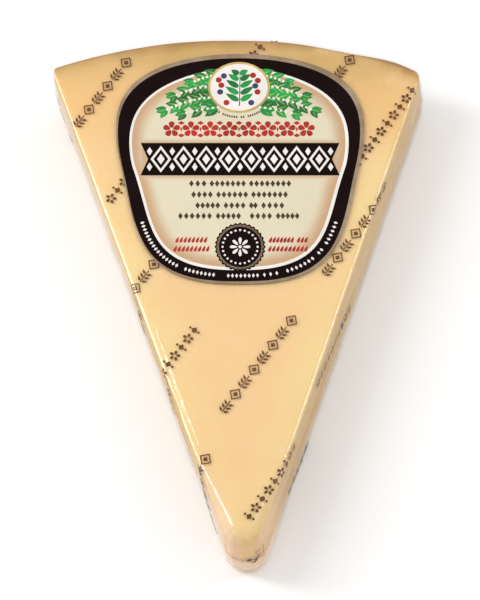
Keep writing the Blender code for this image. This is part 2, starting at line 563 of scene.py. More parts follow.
def lozenge(width, height, middle=(0, 0)):
    x, y = middle
    return [(x + width / 2, y), (x, y + height / 2), (x - width / 2, y), (x, y - height / 2)]


def bar(width, height):
    w, h = width / 2, height / 2
    return [(-w, -h), (w, -h), (w, h), (-w, h)]


def turned(points, turn, middle):
    """Points turned about zero and then moved to a middle."""
    cos, sin = math.cos(turn), math.sin(turn)
    return [(middle[0] + x * cos - y * sin, middle[1] + x * sin + y * cos) for x, y in points]


def ellipse(width, height, steps, middle=(0, 0), turn=0.0, fullness=0.0):
    """An ellipse, or a petal where fullness makes its outer end broader."""
    points = []
    for step in range(steps):
        t = math.tau * step / steps
        y = height / 2 * math.sin(t) * (1 + fullness * math.cos(t))
        points.append((width / 2 * math.cos(t), y))
    return turned(points, turn, middle)


def flower(petals, reach, petal, first_turn=0.0, up=0.0):
    """Outlines of petals round a middle; petal is (length, width, steps, fullness)."""
    span, width, steps, fullness = petal
    outlines = []
    for step in range(petals):
        turn = math.tau * step / petals + first_turn
        middle = (reach * math.cos(turn), up + reach * math.sin(turn))
        outlines.append(ellipse(span, width, steps, middle, turn, fullness))
    return outlines


def leaf(span, width, steps=8, start=(0, 0), turn=0.0):
    """A pointed leaf from its stalk at start to its tip."""
    there = [(step / steps, -1) for step in range(1, steps)]
    back = [(1 - step / steps, 1) for step in range(steps)]
    points = []
    for along, side in there + back:
        points.append((span * along, side * width / 2 * math.sin(math.pi * along ** LEAF_SWELL)))
    return turned(points, turn, start)


def wheel_shape(radius, depth, teeth):
    """A disc whose edge has round scallops."""
    count = teeth * TOOTH_STEPS
    points = []
    for step in range(count):
        t = math.tau * step / count
        reach = radius - depth + depth * abs(math.cos(t * teeth / 2))
        points.append((reach * math.cos(t), reach * math.sin(t)))
    return points


def shield(half_width, half_height, form, middle=(0, 0), steps=128):
    """The label's outline about a middle: an oval, wider at the top, with nearly straight sides.

    The form is (widening, waist, top's roundness, foot's roundness).
    """
    widening, waist, top, foot = form
    points = []
    for step in range(steps):
        t = math.tau * step / steps
        power = 2 / (top if math.sin(t) > 0 else foot)
        across = math.copysign(abs(math.cos(t)) ** power, math.cos(t))
        up = math.copysign(abs(math.sin(t)) ** power, math.sin(t))
        width = half_width * (1 + widening * up + waist * (up * up - 1))
        points.append((middle[0] + width * across, middle[1] + half_height * up))
    return points


def label_form(sizes):
    return (sizes.widening, sizes.waist, sizes.top_roundness, sizes.foot_roundness)


def moved(points, x, y):
    return [(px + x, py + y) for px, py in points]


def scaled(points, across, up):
    return [(x * across, y * up) for x, y in points]


def nearest_edge(point, outline):
    """(gap, place, share along it) of a closed outline's edge that is nearest to a point."""
    best = None
    for place, start in enumerate(outline):
        run = outline[(place + 1) % len(outline)] - start
        along = min(max((point - start).dot(run) / run.length_squared, 0.0), 1.0)
        gap = (point - start - run * along).length
        if best is None or gap < best[0]:
            best = (gap, place, along)
    return best


# Pieces


def inked(mesh, material):
    mesh.materials.clear()
    mesh.materials.append(material)
    return mesh


def new_piece(name, mesh, replaces):
    piece = bpy.data.objects.new(name, mesh)
    bpy.context.scene.collection.objects.link(piece)
    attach(piece, BODY)
    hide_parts(replaces)


def place_on_label(mesh):
    """Moves a mesh from the label's own place, with z counted from the film, to the wedge."""
    for point in mesh.vertices:
        point.co = (point.co.x + LABEL_MIDDLE.x, point.co.y + LABEL_MIDDLE.y, point.co.z + TOP)
    return mesh


# Rows of figures, by Geometry Nodes

ROW_TREE = "Figures along a path"


def build_row_tree():
    """A tree that sets a figure evenly along each path, turned with it, and makes it plain mesh."""
    tree = bpy.data.node_groups.new(ROW_TREE, "GeometryNodeTree")
    sockets = (
        ("Path", "NodeSocketGeometry", None),
        ("Figure", "NodeSocketObject", None),
        ("Count", "NodeSocketInt", 8),
        ("First size", "NodeSocketFloat", 1.0),
        ("Last size", "NodeSocketFloat", 1.0),
        ("Turn", "NodeSocketFloat", 0.0),
        ("Ink", "NodeSocketMaterial", None),
    )
    for name, kind, default in sockets:
        socket = tree.interface.new_socket(name, in_out="INPUT", socket_type=kind)
        if default is not None:
            socket.default_value = default
    tree.interface.new_socket("Rows", in_out="OUTPUT", socket_type="NodeSocketGeometry")

    def node(kind, output, inputs=None, **values):
        return output_of(tree, output, kind, inputs, **values)

    given = tree.nodes.new("NodeGroupInput").outputs
    curve = node("GeometryNodeMeshToCurve", "Curve", {"Mesh": given["Path"]})
    even = node("GeometryNodeResampleCurve", "Curve", {"Curve": curve, "Count": given["Count"]})
    figure = node("GeometryNodeObjectInfo", "Geometry", {"Object": given["Figure"]})
    tangent = node("GeometryNodeInputTangent", "Tangent")
    facing = {"axis": "X", "pivot_axis": "Z"}
    aligned = node("FunctionNodeAlignRotationToVector", "Rotation", {"Vector": tangent}, **facing)
    turn = node("ShaderNodeCombineXYZ", "Vector", {"Z": given["Turn"]})
    extra = node("FunctionNodeEulerToRotation", "Rotation", {"Euler": turn})
    both = {"Rotation": aligned, "Rotate By": extra}
    rotation = node("FunctionNodeRotateRotation", "Rotation", both, rotation_space="LOCAL")
    along = node("GeometryNodeSplineParameter", "Factor")
    ends = {"Value": along, "To Min": given["First size"], "To Max": given["Last size"]}
    flat_size = node("ShaderNodeMapRange", "Result", ends)
    size = node("ShaderNodeCombineXYZ", "Vector", {"X": flat_size, "Y": flat_size, "Z": 1.0})
    placing = {"Points": even, "Instance": figure, "Rotation": rotation, "Scale": size}
    placed = node("GeometryNodeInstanceOnPoints", "Instances", placing)
    real = node("GeometryNodeRealizeInstances", "Geometry", {"Geometry": placed})
    rows = node("GeometryNodeSetMaterial", "Geometry", {"Geometry": real, "Material": given["Ink"]})
    add_node(tree, "NodeGroupOutput", {"Rows": rows})
    return tree


def path_mesh(paths, closed=False):
    points, edges = [], []
    for path in paths:
        start = len(points)
        points += [(x, y, 0.0) for x, y in path]
        edges += [(start + i, start + i + 1) for i in range(len(path) - 1)]
        if closed:
            edges.append((len(points) - 1, start))
    mesh = bpy.data.meshes.new("path")
    mesh.from_pydata(points, edges, [])
    return mesh


def row_mesh(name, paths, figure_mesh, count, ink, first_size=1.0, last_size=1.0, turn=0.0, closed=False):
    """A plain mesh of a figure repeated along each path."""
    tree = bpy.data.node_groups.get(ROW_TREE) or build_row_tree()
    figure = bpy.data.objects.new("figure", figure_mesh)
    carrier = bpy.data.objects.new("carrier", path_mesh(paths, closed))
    for item in (figure, carrier):
        bpy.context.scene.collection.objects.link(item)
    modifier = carrier.modifiers.new("Rows", "NODES")
    modifier.node_group = tree
    values = {
        "Figure": figure,
        "Count": count,
        "First size": first_size,
        "Last size": last_size,
        "Turn": turn,
        "Ink": ink,
    }
    for item in tree.interface.items_tree:
        if item.item_type == "SOCKET" and item.name in values:
            modifier[item.identifier] = values[item.name]
    bpy.context.view_layer.update()
    depsgraph = bpy.context.evaluated_depsgraph_get()
    mesh = bpy.data.meshes.new_from_object(carrier.evaluated_get(depsgraph))
    mesh.name = name
    carrier.modifiers.remove(modifier)
    bpy.data.objects.remove(carrier, do_unlink=True)
    bpy.data.objects.remove(figure, do_unlink=True)
    if not mesh.polygons:
        raise RuntimeError(f"the row {name} came out empty")
    return mesh


def joined(name, meshes):
    """One mesh of several, each with its own materials kept."""
    materials, points, faces, face_materials = [], [], [], []
    for mesh in meshes:
        start = len(points)
        points += [point.co.copy() for point in mesh.vertices]
        for material in mesh.materials:
            if material not in materials:
                materials.append(material)
        for face in mesh.polygons:
            faces.append([start + corner for corner in face.vertices])
            face_materials.append(materials.index(mesh.materials[face.material_index]))
    whole = bpy.data.meshes.new(name)
    whole.from_pydata(points, [], faces)
    for material in materials:
        whole.materials.append(material)
    whole.polygons.foreach_set("material_index", face_materials)
    return whole


# Print that follows the film over its edges


def dense(points, step):
    """The same closed outline with a point at least every step."""
    result = []
    for place, (x, y) in enumerate(points):
        next_x, next_y = points[(place + 1) % len(points)]
        parts = max(1, math.ceil(math.hypot(next_x - x, next_y - y) / step))
        result += [(x + (next_x - x) * i / parts, y + (next_y - y) * i / parts) for i in range(parts)]
    return result


RIND_EDGE_CLEAR = 2.2 * MM


class FilmFold:
    """Lays flat print on the wedge's top and folds it down over the edges and walls."""

    def __init__(self, sizes, origin, film_mesh):
        outline, normals, _, profiles = wedge_skin(sizes, origin)
        self.columns = []
        for point, normal, profile in zip(outline, normals, profiles):
            self.columns.append([skin_point(sizes, point, normal, *level) for level in reversed(profile)])
        self.lip = [Vector((column[0].x, column[0].y)) for column in self.columns]
        right = range(TIP_STEPS - 1, TIP_STEPS + SIDE_STEPS - 1)
        rind_start = right.stop + CORNER_STEPS
        rind = range(rind_start, rind_start + RIND_STEPS - 2)
        left = range(rind.stop + CORNER_STEPS - 1, len(outline) - 1)
        self.straight = set(right) | set(rind) | set(left)
        self.rind = set(rind)
        points = [point.co for point in film_mesh.vertices]
        self.film = BVHTree.FromPolygons(points, [face.vertices for face in film_mesh.polygons])

    def wall_line(self, place, along):
        """Points down the wall from the lip's edge at a place, that share along it."""
        first, second = self.columns[place], self.columns[(place + 1) % len(self.columns)]
        return [a.lerp(b, along) for a, b in zip(first, second)]

    def down_wall(self, place, along, reach):
        """The point that far down the wall, or None past its foot."""
        line = self.wall_line(place, along)
        for a, b in zip(line, line[1:]):
            step = (b - a).length
            if reach <= step:
                return a.lerp(b, reach / step)
            reach -= step
        return None

    def at_height(self, place, along, height):
        """The wall's point at a height above the floor."""
        line = self.wall_line(place, along)
        for a, b in zip(line, line[1:]):
            if a.z >= height > b.z:
                return a.lerp(b, (a.z - height) / (a.z - b.z))
        raise ValueError(f"no point of the wall is {height} m high")

    def on_film(self, place, lift):
        """The point that high above the film, nearest to a place."""
        found, normal = self.film.find_nearest(place)[:2]
        return found + normal * lift

    def place(self, flat):
        """The wedge's point under a flat point, or None where print would crease or run under the foot."""
        gap, place, along = nearest_edge(flat, self.lip)
        start = self.lip[place]
        run = self.lip[(place + 1) % len(self.lip)] - start
        outside = (flat.x - start.x) * run.y - (flat.y - start.y) * run.x > 0
        if gap == 0 or not outside:
            return Vector((flat.x, flat.y, TOP))
        if place not in self.straight or (place in self.rind and gap < RIND_EDGE_CLEAR):
            return None
        return self.down_wall(place, along, gap)

    def fold(self, mesh, points_per_figure, lift, skip):
        """The figures of a flat mesh on the film; skip tells which flat points the label hides."""
        points, faces, kept = [], [], {}
        for figure in range(len(mesh.vertices) // points_per_figure):
            flats = [mesh.vertices[figure * points_per_figure + i].co for i in range(points_per_figure)]
            if all(skip(flat) for flat in flats):
                continue
            places = [self.place(Vector((flat.x, flat.y))) for flat in flats]
            if any(place is None for place in places):
                continue
            kept[figure] = len(points)
            points += [self.on_film(place, lift + flat.z) for flat, place in zip(flats, places)]
        for face in mesh.polygons:
            figure = face.vertices[0] // points_per_figure
            if figure in kept:
                shift = kept[figure] - figure * points_per_figure
                faces.append([corner + shift for corner in face.vertices])
        folded = bpy.data.meshes.new(mesh.name)
        folded.from_pydata(points, [], faces)
        return folded


# Cheese and film. Lengths in a material are in millimetres, and a grain is (scale, detail, roughness)

FLAT = (1, 1, 0)
RIND_STOPS = (0.03, 0.11, 0.34, 0.85)
RIND_ZONE = 34.0
CHEESE_SCATTER = (1.0, 0.55, 0.28)


def side_distances(tree, sizes, flat_place):
    """How far in a place is from the left and from the right cut side."""
    distances = []
    for side, turn in ((-1, sizes.left_angle), (1, sizes.right_angle)):
        inward = (-side * math.cos(turn), math.sin(turn), 0)
        distances.append(vector_math(tree, "DOT_PRODUCT", flat_place, inward))
    return distances


def part_of(tree, place, axis):
    return output_of(tree, axis, "ShaderNodeSeparateXYZ", {"Vector": place})


def cheese_material(sizes, colours, origin):
    """Pale paste that turns brown at the rind and warm at the tip, with painted shade on the cut sides and
    painted sheen along the top's long edges.
    """
    material, tree = new_material("hard_cheese")
    place = object_place(tree, (origin.x, origin.y, 0))
    flat_place = object_place(tree, (origin.x, origin.y, 0), FLAT)
    rind_y = sizes.sides_meet_to_rind - sizes.rind_radius
    wheel_place = object_place(tree, (origin.x + sizes.rind_centre_x, origin.y + rind_y, 0), FLAT)
    reach = vector_math(tree, "LENGTH", flat_place)
    wheel_reach = vector_math(tree, "LENGTH", wheel_place)
    from_rind = math_node(tree, "SUBTRACT", sizes.rind_radius / MM, wheel_reach)
    height = part_of(tree, place, "Z")
    from_side = math_node(tree, "MINIMUM", *side_distances(tree, sizes, flat_place))

    # From rind to paste, and the tip
    wander = math_node(tree, "MULTIPLY_ADD", noise_value(tree, place, 0.035, 3, 0.55), 7.0, -3.5)
    wandered = math_node(tree, "ADD", from_rind, wander)
    tones = (colours.rind, colours.near_rind, colours.inner, colours.paste)
    zones = map_range(tree, wandered, 0.0, RIND_ZONE, smooth=False)
    base = colour_ramp(tree, zones, tuple(zip(RIND_STOPS, tones)))
    base = tinted(tree, base, map_range(tree, reach, 17.0, 25.0, 1.0, 0.0), colours.tip)

    # Painted sheen: paler towards the top's long edges, beside their highlights; golden in the rind's corners
    painted_edge_sheen = map_range(tree, from_side, 0.5, 13.0, 0.9, 0.0)
    painted_edge_sheen = product(tree, painted_edge_sheen, map_range(tree, from_rind, 14.0, 42.0))
    base = tinted(tree, base, painted_edge_sheen, colours.painted_edge_sheen)
    in_corner = map_range(tree, from_side, 2.0, 17.0, 0.62, 0.0)
    past_rind = map_range(tree, from_rind, 1.5, 6.0)
    short_of_paste = map_range(tree, from_rind, 10.0, 34.0, 1.0, 0.0)
    base = tinted(tree, base, product(tree, in_corner, past_rind, short_of_paste), colours.corner)

    # Warm and pale patches
    warm = patches(tree, place, (0.045, 2, 0.5), 0.35, 0.68)
    base = tinted(tree, base, product(tree, warm, 0.45), colours.paste_warm)
    pale = patches(tree, place, (0.11, 4, 0.6), 0.55, 0.78)
    base = tinted(tree, base, product(tree, pale, 0.35), colours.paste_light)

    # Painted shade on the cut sides below the top edge, less of it by the tip, and the rind itself
    at_tip = map_range(tree, reach, 22.0, 34.0, 1.0, 0.0)
    painted_side_shade = mix_colours(tree, at_tip, pigment(colours.cut_side_painted_shade), pigment(colours.tip_side_painted_shade))
    base = mix_colours(tree, map_range(tree, height, 20.5, 23.2, 0.85, 0.0), base, painted_side_shade)
    base = tinted(tree, base, map_range(tree, from_rind, 0.7, 1.9, 0.85, 0.0), colours.rind_edge)

    shade = patches(tree, place, (1.6, 4, 0.65), 0.3, 0.75, 0.965, 1.02)
    shaded = {0: base, "Scale": shade}
    bumps = (((0.16, 3, 0.55), 0.35, 0.0008), ((1.4, 5, 0.6), 0.25, 0.00012))
    inputs = {
        "Base Color": output_of(tree, "Vector", "ShaderNodeVectorMath", shaded, operation="SCALE"),
        "Roughness": patches(tree, place, (0.5, 3, 0.6), 0.3, 0.7, 0.42, 0.62),
        "Normal": noise_bumps(tree, place, *bumps),
        "Specular IOR Level": 0.25,
        "Subsurface Weight": 0.25,
        "Subsurface Radius": CHEESE_SCATTER,
        "Subsurface Scale": 0.0025,
    }
    finish_material(tree, output_of(tree, "BSDF", "ShaderNodeBsdfPrincipled", inputs))
    return material


CLEAR = (1, 1, 1, 1)
FILM_SHINE = 0.08
HAZE_TOP = 0.01
# Haze and milk: partly milky gathered film, partly painted floor reflection and painted sheen
HAZE_AND_REFLECTION_FOOT = 0.22
HAZE_AND_REFLECTION_TIP = 0.54
HAZE_AND_SHEEN_BY_TIP = (0.36, 0.24)
MILK_AND_REFLECTION_WALL = (0.74, 0.58, 0.46)
MILK_AND_REFLECTION_TIP = (0.99, 0.79, 0.63)
SLANT_POWER = 10.0
CREASE_FROM_SIDE = 1.8
CREASE_REACH = 60.0


def film_material(sizes, origin):
    """Clear film: see-through face on, glossy at a slant, and milky where it is gathered, the milk partly
    painted reflection of the floor and painted sheen.
    """
    material, tree = new_material("clear_film")
    place = object_place(tree)
    flat_place = object_place(tree, (origin.x, origin.y, 0), FLAT)
    reach = vector_math(tree, "LENGTH", flat_place)
    height = part_of(tree, place, "Z")
    from_left, from_right = side_distances(tree, sizes, flat_place)

    # Ripples, and a crease beside the left edge
    normal = noise_bumps(tree, place, ((0.45, 4, 0.6), 0.25, 0.0004), ((2.4, 3, 0.55), 0.25, 0.00004))
    waver = math_node(tree, "MULTIPLY_ADD", noise_value(tree, flat_place, 0.22, 2, 0.5), 1.2, -0.6)
    wavering = math_node(tree, "ADD", from_left, waver)
    off_crease = math_node(tree, "ABSOLUTE", math_node(tree, "SUBTRACT", wavering, CREASE_FROM_SIDE))
    off_window = math_node(tree, "ABSOLUTE", math_node(tree, "SUBTRACT", reach, CREASE_REACH))
    uncreased = math_node(tree, "SUBTRACT", 1.0, map_range(tree, off_window, 8.0, 20.0, 1.0, 0.0))
    crease = math_node(tree, "MAXIMUM", map_range(tree, off_crease, 0.0, 0.7, 0.0, 1.0), uncreased)
    normal = bump(tree, crease, 1.0, 0.0003, normal)
    roughness = patches(tree, place, (0.2, 3, 0.6), 0.3, 0.7, 0.07, 0.17)

    # Haze, partly gathered film, partly painted floor reflection low on the walls and on the tip's lip, and
    # painted sheen by the tip, stronger on the lit left side
    streak_place = object_place(tree, scale=(0.12, 0.12, 1.0))
    streaks = math_node(tree, "MULTIPLY_ADD", noise_value(tree, streak_place, 0.7, 4, 0.6), 9.0, -4.5)
    haze_and_painted_light = map_range(tree, math_node(tree, "ADD", height, streaks), 2.0, 17.0, HAZE_AND_REFLECTION_FOOT, HAZE_TOP)
    tip_level = math_node(tree, "MULTIPLY_ADD", streaks, 0.25, height)
    tip_haze_and_reflection = product(
        tree,
        map_range(tree, tip_level, 8.6, 10.2, HAZE_AND_REFLECTION_TIP, HAZE_TOP),
        map_range(tree, height, 1.0, 4.5, 0.3, 1.0),
        map_range(tree, reach, 22.0, 31.0, 1.0, 0.0),
    )
    left_haze_and_sheen = map_range(tree, from_left, 1.2, 5.4, HAZE_AND_SHEEN_BY_TIP[0], 0.0)
    right_haze_and_sheen = map_range(tree, from_right, 0.2, 2.2, HAZE_AND_SHEEN_BY_TIP[1], 0.0)
    gathered = math_node(tree, "MAXIMUM", left_haze_and_sheen, right_haze_and_sheen)
    gathered = math_node(tree, "MAXIMUM", gathered, tip_haze_and_reflection)
    at_tip = map_range(tree, reach, 22.0, 44.0, 1.0, 0.0)
    haze_and_painted_light = math_node(tree, "MAXIMUM", haze_and_painted_light, product(tree, gathered, at_tip))

    milk_and_reflection_tone = mix_colours(tree, at_tip, MILK_AND_REFLECTION_WALL, MILK_AND_REFLECTION_TIP)
    clear = output_of(tree, "BSDF", "ShaderNodeBsdfTransparent", {"Color": CLEAR})
    milk_and_reflection_shader = output_of(tree, "BSDF", "ShaderNodeBsdfDiffuse", {"Color": milk_and_reflection_tone})
    body = output_of(tree, "Shader", "ShaderNodeMixShader", {"Fac": haze_and_painted_light, 1: clear, 2: milk_and_reflection_shader})
    glossy = {"Color": CLEAR, "Roughness": roughness, "Normal": normal}
    gloss = output_of(tree, "BSDF", "ShaderNodeBsdfAnisotropic", glossy)
    facing = output_of(tree, "Facing", "ShaderNodeLayerWeight", {"Blend": 0.5, "Normal": normal})
    rise = math_node(tree, "POWER", facing, SLANT_POWER)
    slant = math_node(tree, "MULTIPLY_ADD", rise, 1 - FILM_SHINE, FILM_SHINE)
    finish_material(tree, output_of(tree, "Shader", "ShaderNodeMixShader", {"Fac": slant, 1: body, 2: gloss}))
    return material


STREAK_DEPTH = 0.22
RIPPLE_DEPTH = 0.14
LEFT_CREASE_DEPTH = 0.75 * MM
LEFT_DENT_DEPTH = 0.45 * MM
RIGHT_CREASE_DEPTH = 0.45 * MM
PLEATS = 13
PLEAT_DEPTH = 0.20 * MM
TIP_FOLD_DEPTH = 0.45 * MM


def uneven(x, y=0.0, z=0.0):
    return noise.noise(Vector((x, y, z)))


def film_relief(sizes, origin):
    """How far the film lies in from the wedge's plain walls, from ripples, creases and pleats."""
    half_angle = (sizes.left_angle + sizes.right_angle) / 2
    tip_centre = origin + Vector((0.0, sizes.tip_radius / math.sin(half_angle)))

    def relief(point, normal, height, tip_y):
        along = (point - origin).dot(Vector((-normal.y, normal.x)))
        from_tip = point.y - tip_y
        up = height / TOP
        on_wall = smooth_step(up / 0.08) * smooth_step((1.0 - up) / 0.04)

        streak = uneven(along / (9 * MM), height / (2.2 * MM), normal.x * 7)
        ripple = uneven(along / (3.5 * MM), height / (5 * MM), normal.y * 5 + 9)
        depth = STREAK_DEPTH * (0.5 + 0.5 * streak) + RIPPLE_DEPTH * (0.5 + 0.5 * ripple)
        inset = depth * MM * on_wall

        # A crease along each cut side, and a dent in the left one's edge
        if normal.x < -0.5:
            crease = TOP - (4.6 + 1.6 * uneven(from_tip / (7 * MM), 3.0)) * MM
            in_middle = hump(from_tip, 46 * MM, 34 * MM)
            inset += LEFT_CREASE_DEPTH * in_middle * hump(height, crease, 3.0 * MM)
            at_dent = hump(from_tip, 39 * MM, 4.5 * MM)
            inset += LEFT_DENT_DEPTH * at_dent * hump(height, TOP - 0.5 * MM, 1.6 * MM)
        elif normal.x > 0.5:
            crease = TOP - (11.0 + 2.5 * uneven(from_tip / (16 * MM), 6.0)) * MM
            towards_rind = smooth_step((from_tip - 50 * MM) / (45 * MM))
            inset += RIGHT_CREASE_DEPTH * hump(height, crease, 2.4 * MM) * (1 - towards_rind)

        # Pleats round the tip, and the fold that gathers them
        turn = math.atan2(point.x - tip_centre.x, -(point.y - tip_centre.y))
        at_tip = 1 - smooth_step((from_tip - 2 * MM) / (9 * MM))
        pleat = 0.5 + 0.5 * math.sin(turn * PLEATS + 2.5 * uneven(turn * 2, height / (6 * MM)))
        inset += PLEAT_DEPTH * pleat * at_tip * on_wall
        fold_height = (9.8 + 1.2 * uneven(turn * 3, 1.0)) * MM
        inset += TIP_FOLD_DEPTH * at_tip * hump(height, fold_height, 1.1 * MM)
        return inset

    return relief


# Label art

PAPER_BUMPS = (((0.25, 2, 0.5), 0.25, 0.0004), ((3.0, 3, 0.6), 0.2, 0.00004))


def paper_material(material, tree, place, ink, roughness, shine):
    """Gives a material the surface of printed paper under a thin varnish."""
    inputs = {
        "Base Color": ink,
        "Roughness": patches(tree, place, (0.6, 3, 0.6), 0.3, 0.7, *roughness),
        "Normal": noise_bumps(tree, place, *PAPER_BUMPS),
        "Specular IOR Level": shine,
    }
    finish_material(tree, output_of(tree, "BSDF", "ShaderNodeBsdfPrincipled", inputs))
    return material


def ink_material(name, picture_colour, spread=0.06, roughness=(0.34, 0.5), second=None, shine=0.4):
    """Slightly uneven ink on the label or the film; the second colour is given where it differs more."""
    material, tree = new_material(name)
    place = object_place(tree)
    base = pigment(picture_colour)
    darker = tuple(part * (1 - spread) for part in base)
    other = tuple(min(part * (1 + 3 * spread), 1.0) for part in base) if second is None else pigment(second)
    ink = mix_colours(tree, patches(tree, place, (0.12, 4, 0.6), 0.38, 0.66), darker, other)
    return paper_material(material, tree, place, ink, roughness, shine)


def black_ink(name, colours):
    return ink_material(name, colours.black, 0.1, (0.25, 0.38), shine=0.06)


def white_ink(name, colours):
    return ink_material(name, colours.white, 0.03)


def dull_gold_ink(name, dark, light):
    return ink_material(name, dark, 0.08, (0.26, 0.4), light)


def field_material(sizes, colours):
    """Cream paper that darkens to tan at its edge and round the banner."""
    material, tree = new_material("cream_field")
    place = object_place(tree)
    inward = output_of(tree, "Fac", "ShaderNodeAttribute", attribute_name="inward")
    wander = math_node(tree, "MULTIPLY_ADD", noise_value(tree, place, 0.1, 3, 0.6), 1.6, -0.8)
    at_edge = map_range(tree, math_node(tree, "ADD", inward, wander), 0.2, 4.6, 1.0, 0.0)
    banner_place = object_place(tree, (LABEL_MIDDLE.x, LABEL_MIDDLE.y + sizes.banner_up, 0))
    halves = (("X", sizes.banner_half_width / MM - 0.6), ("Y", sizes.banner_half_height / MM))
    gaps = []
    for axis, half in halves:
        off_middle = math_node(tree, "ABSOLUTE", part_of(tree, banner_place, axis))
        gaps.append(math_node(tree, "SUBTRACT", off_middle, half))
    near_banner = map_range(tree, math_node(tree, "MAXIMUM", *gaps), -0.2, 1.7, 0.85, 0.0)
    cream = pigment(colours.field)
    pale = tuple(min(part * 1.05, 1.0) for part in cream)
    paper = mix_colours(tree, patches(tree, place, (0.08, 3, 0.6), 0.35, 0.7), cream, pale)
    ink = tinted(tree, paper, math_node(tree, "MAXIMUM", at_edge, near_banner), colours.field_edge)
    return paper_material(material, tree, place, ink, (0.36, 0.5), 0.45)


def inset_outline(points, distance):
    vectors = [Vector(point) for point in points]
    return [tuple(point - normal * distance) for point, normal in zip(vectors, outward_normals(vectors))]


FIELD_SHARES = (0.0, 0.03, 0.06, 0.09, 0.12, 0.16, 0.2, 0.26, 0.34, 0.45, 0.6, 0.8)


def field_mesh(outline, low, high):
    """A plate whose top is ringed, with each point's distance from the edge as an attribute."""
    edge = [Vector(point) for point in outline]
    middle = sum(edge, Vector((0, 0))) / len(edge)
    rings = [[Vector((p.x, p.y, low)) for p in edge]]
    for share_in in FIELD_SHARES:
        rings.append([p.lerp(middle, share_in).to_3d() + Vector((0, 0, high)) for p in edge])
    mesh = rings_mesh("cream_field", rings)
    for face in mesh.polygons:
        face.use_smooth = False
    inward = mesh.attributes.new("inward", "FLOAT", "POINT")
    for point, value in zip(mesh.vertices, inward.data):
        on_top = point.co.z > (low + high) / 2
        value.value = nearest_edge(point.co.xy, edge)[0] / MM if on_top else 0.0
    return mesh


# Levels of the label's printed layers above the film, as (low, high)

GROUND = (0.03 * MM, 0.34 * MM)
LAYER_LOW = 0.305
LAYER_HIGH = 0.365
LAYER_RISE = 0.027
BAND, LINE, FIELD, PRINT, ON_PRINT, RIM, SPRIG = (
    tuple((edge + LAYER_RISE * level) * MM for edge in (LAYER_LOW, LAYER_HIGH)) for level in range(7)
)


def raised(layer, rise):
    return tuple(height + rise for height in layer)


FOOT_LIFT = 0.06 * MM


class CHEESE_OT_paste(bpy.types.Operator):
    """Make the wedge of cheese under the film"""

    bl_idname = "cheese_wedge.paste"
    bl_label = "Make Cheese"

    def execute(self, context):
        given = settings(context)
        origin = sides_meet(given.label)
        mesh = rings_mesh("cheese", wedge_rings(given.wedge, origin, given.wedge.film_room))
        material = cheese_material(given.wedge, given.wedge_colours, origin)
        new_piece("cheese", inked(mesh, material), "sealed_wedge")
        return {"FINISHED"}


class CHEESE_OT_film(bpy.types.Operator):
    """Make the clear film that is tight on the cheese"""

    bl_idname = "cheese_wedge.film"
    bl_label = "Make Film"

    def execute(self, context):
        given = settings(context)
        origin = sides_meet(given.label)
        mesh = rings_mesh("film", wedge_rings(given.wedge, origin, 0.0))
        for point in mesh.vertices:
            point.co.z = max(point.co.z, FOOT_LIFT)
        new_piece("film", inked(mesh, film_material(given.wedge, origin)), "sealed_wedge")
        return {"FINISHED"}


PRINT_TURN = math.radians(54.8)
SPRIG_PITCH = 4.3 * MM
SPRIG_COUNT = 8
BLOCK_PITCH = 3.0 * MM
BLOCK_COUNT = 10
PRINT_DEPTH = 0.02 * MM
PRINT_LIFT = 0.03 * MM

# Rows of print across the film: distance of the row from the label's middle, start along it, and its kind
PRINT_ROWS = (
    (43.5, -13.6, "sprig"),
    (23.2, -27.3, "block"),
    (16.5, 17.8, "block"),
    (2.6, -57.8, "sprig"),
    (-5.7, 39.3, "sprig"),
    (-17.3, -72.6, "block"),
    (-24.8, 18.9, "block"),
    (-36.8, -58.6, "sprig"),
    (-36.4, -10.7, "sprig"),
    (-41.0, -104.0, "sprig"),
    (-59.6, -83.4, "block"),
    (63.5, -30.0, "block"),
    (-56.0, -36.0, "block"),
    (-76.5, -60.0, "sprig"),
)
PRINT_STEP = 0.35 * MM
SPRIG_STEM = (4.0 * MM, 0.29 * MM)
SPRIG_LEAF = (1.8 * MM, 0.6 * MM, 5)
SPRIG_LEAF_STARTS = (-1.85, -0.7, 0.45)
SPRIG_LEAF_OUT = 0.09
SPRIG_LEAF_TURN = 54
SPRIG_LOZENGE = (3.85 * MM, 3.7 * MM)
SPRIG_HOLE = 0.76
SPRIG_CORE = (1.5 * MM, 1.4 * MM)
BLOCK_PETAL = (1.1 * MM, 0.8 * MM, 10, 0.0)
BLOCK_PETAL_REACH = 0.96 * MM
BLOCK_FLOWER_TURN = 0.3
BLOCK_LOZENGE = (1.9 * MM, 1.7 * MM)
BLOCK_BEAD = 0.7 * MM
BLOCK_BEAD_OUT = 1.32 * MM


def print_plate(outline, *hole):
    return (dense(outline, PRINT_STEP), 0, PRINT_DEPTH, *hole)


def sprig_figures():
    """Two slim figures: a stem with six leaves, and an open lozenge round a solid one."""
    sprig = [print_plate(bar(*SPRIG_STEM))]
    for side in (-1, 1):
        for along in SPRIG_LEAF_STARTS:
            start = (along * MM, side * SPRIG_LEAF_OUT * MM)
            turn = math.radians(side * SPRIG_LEAF_TURN)
            sprig.append(print_plate(leaf(*SPRIG_LEAF, start, turn)))
    outer = lozenge(*SPRIG_LOZENGE)
    hole = scaled(dense(outer, PRINT_STEP), SPRIG_HOLE, SPRIG_HOLE)
    return sprig, [print_plate(outer, hole), print_plate(lozenge(*SPRIG_CORE))]


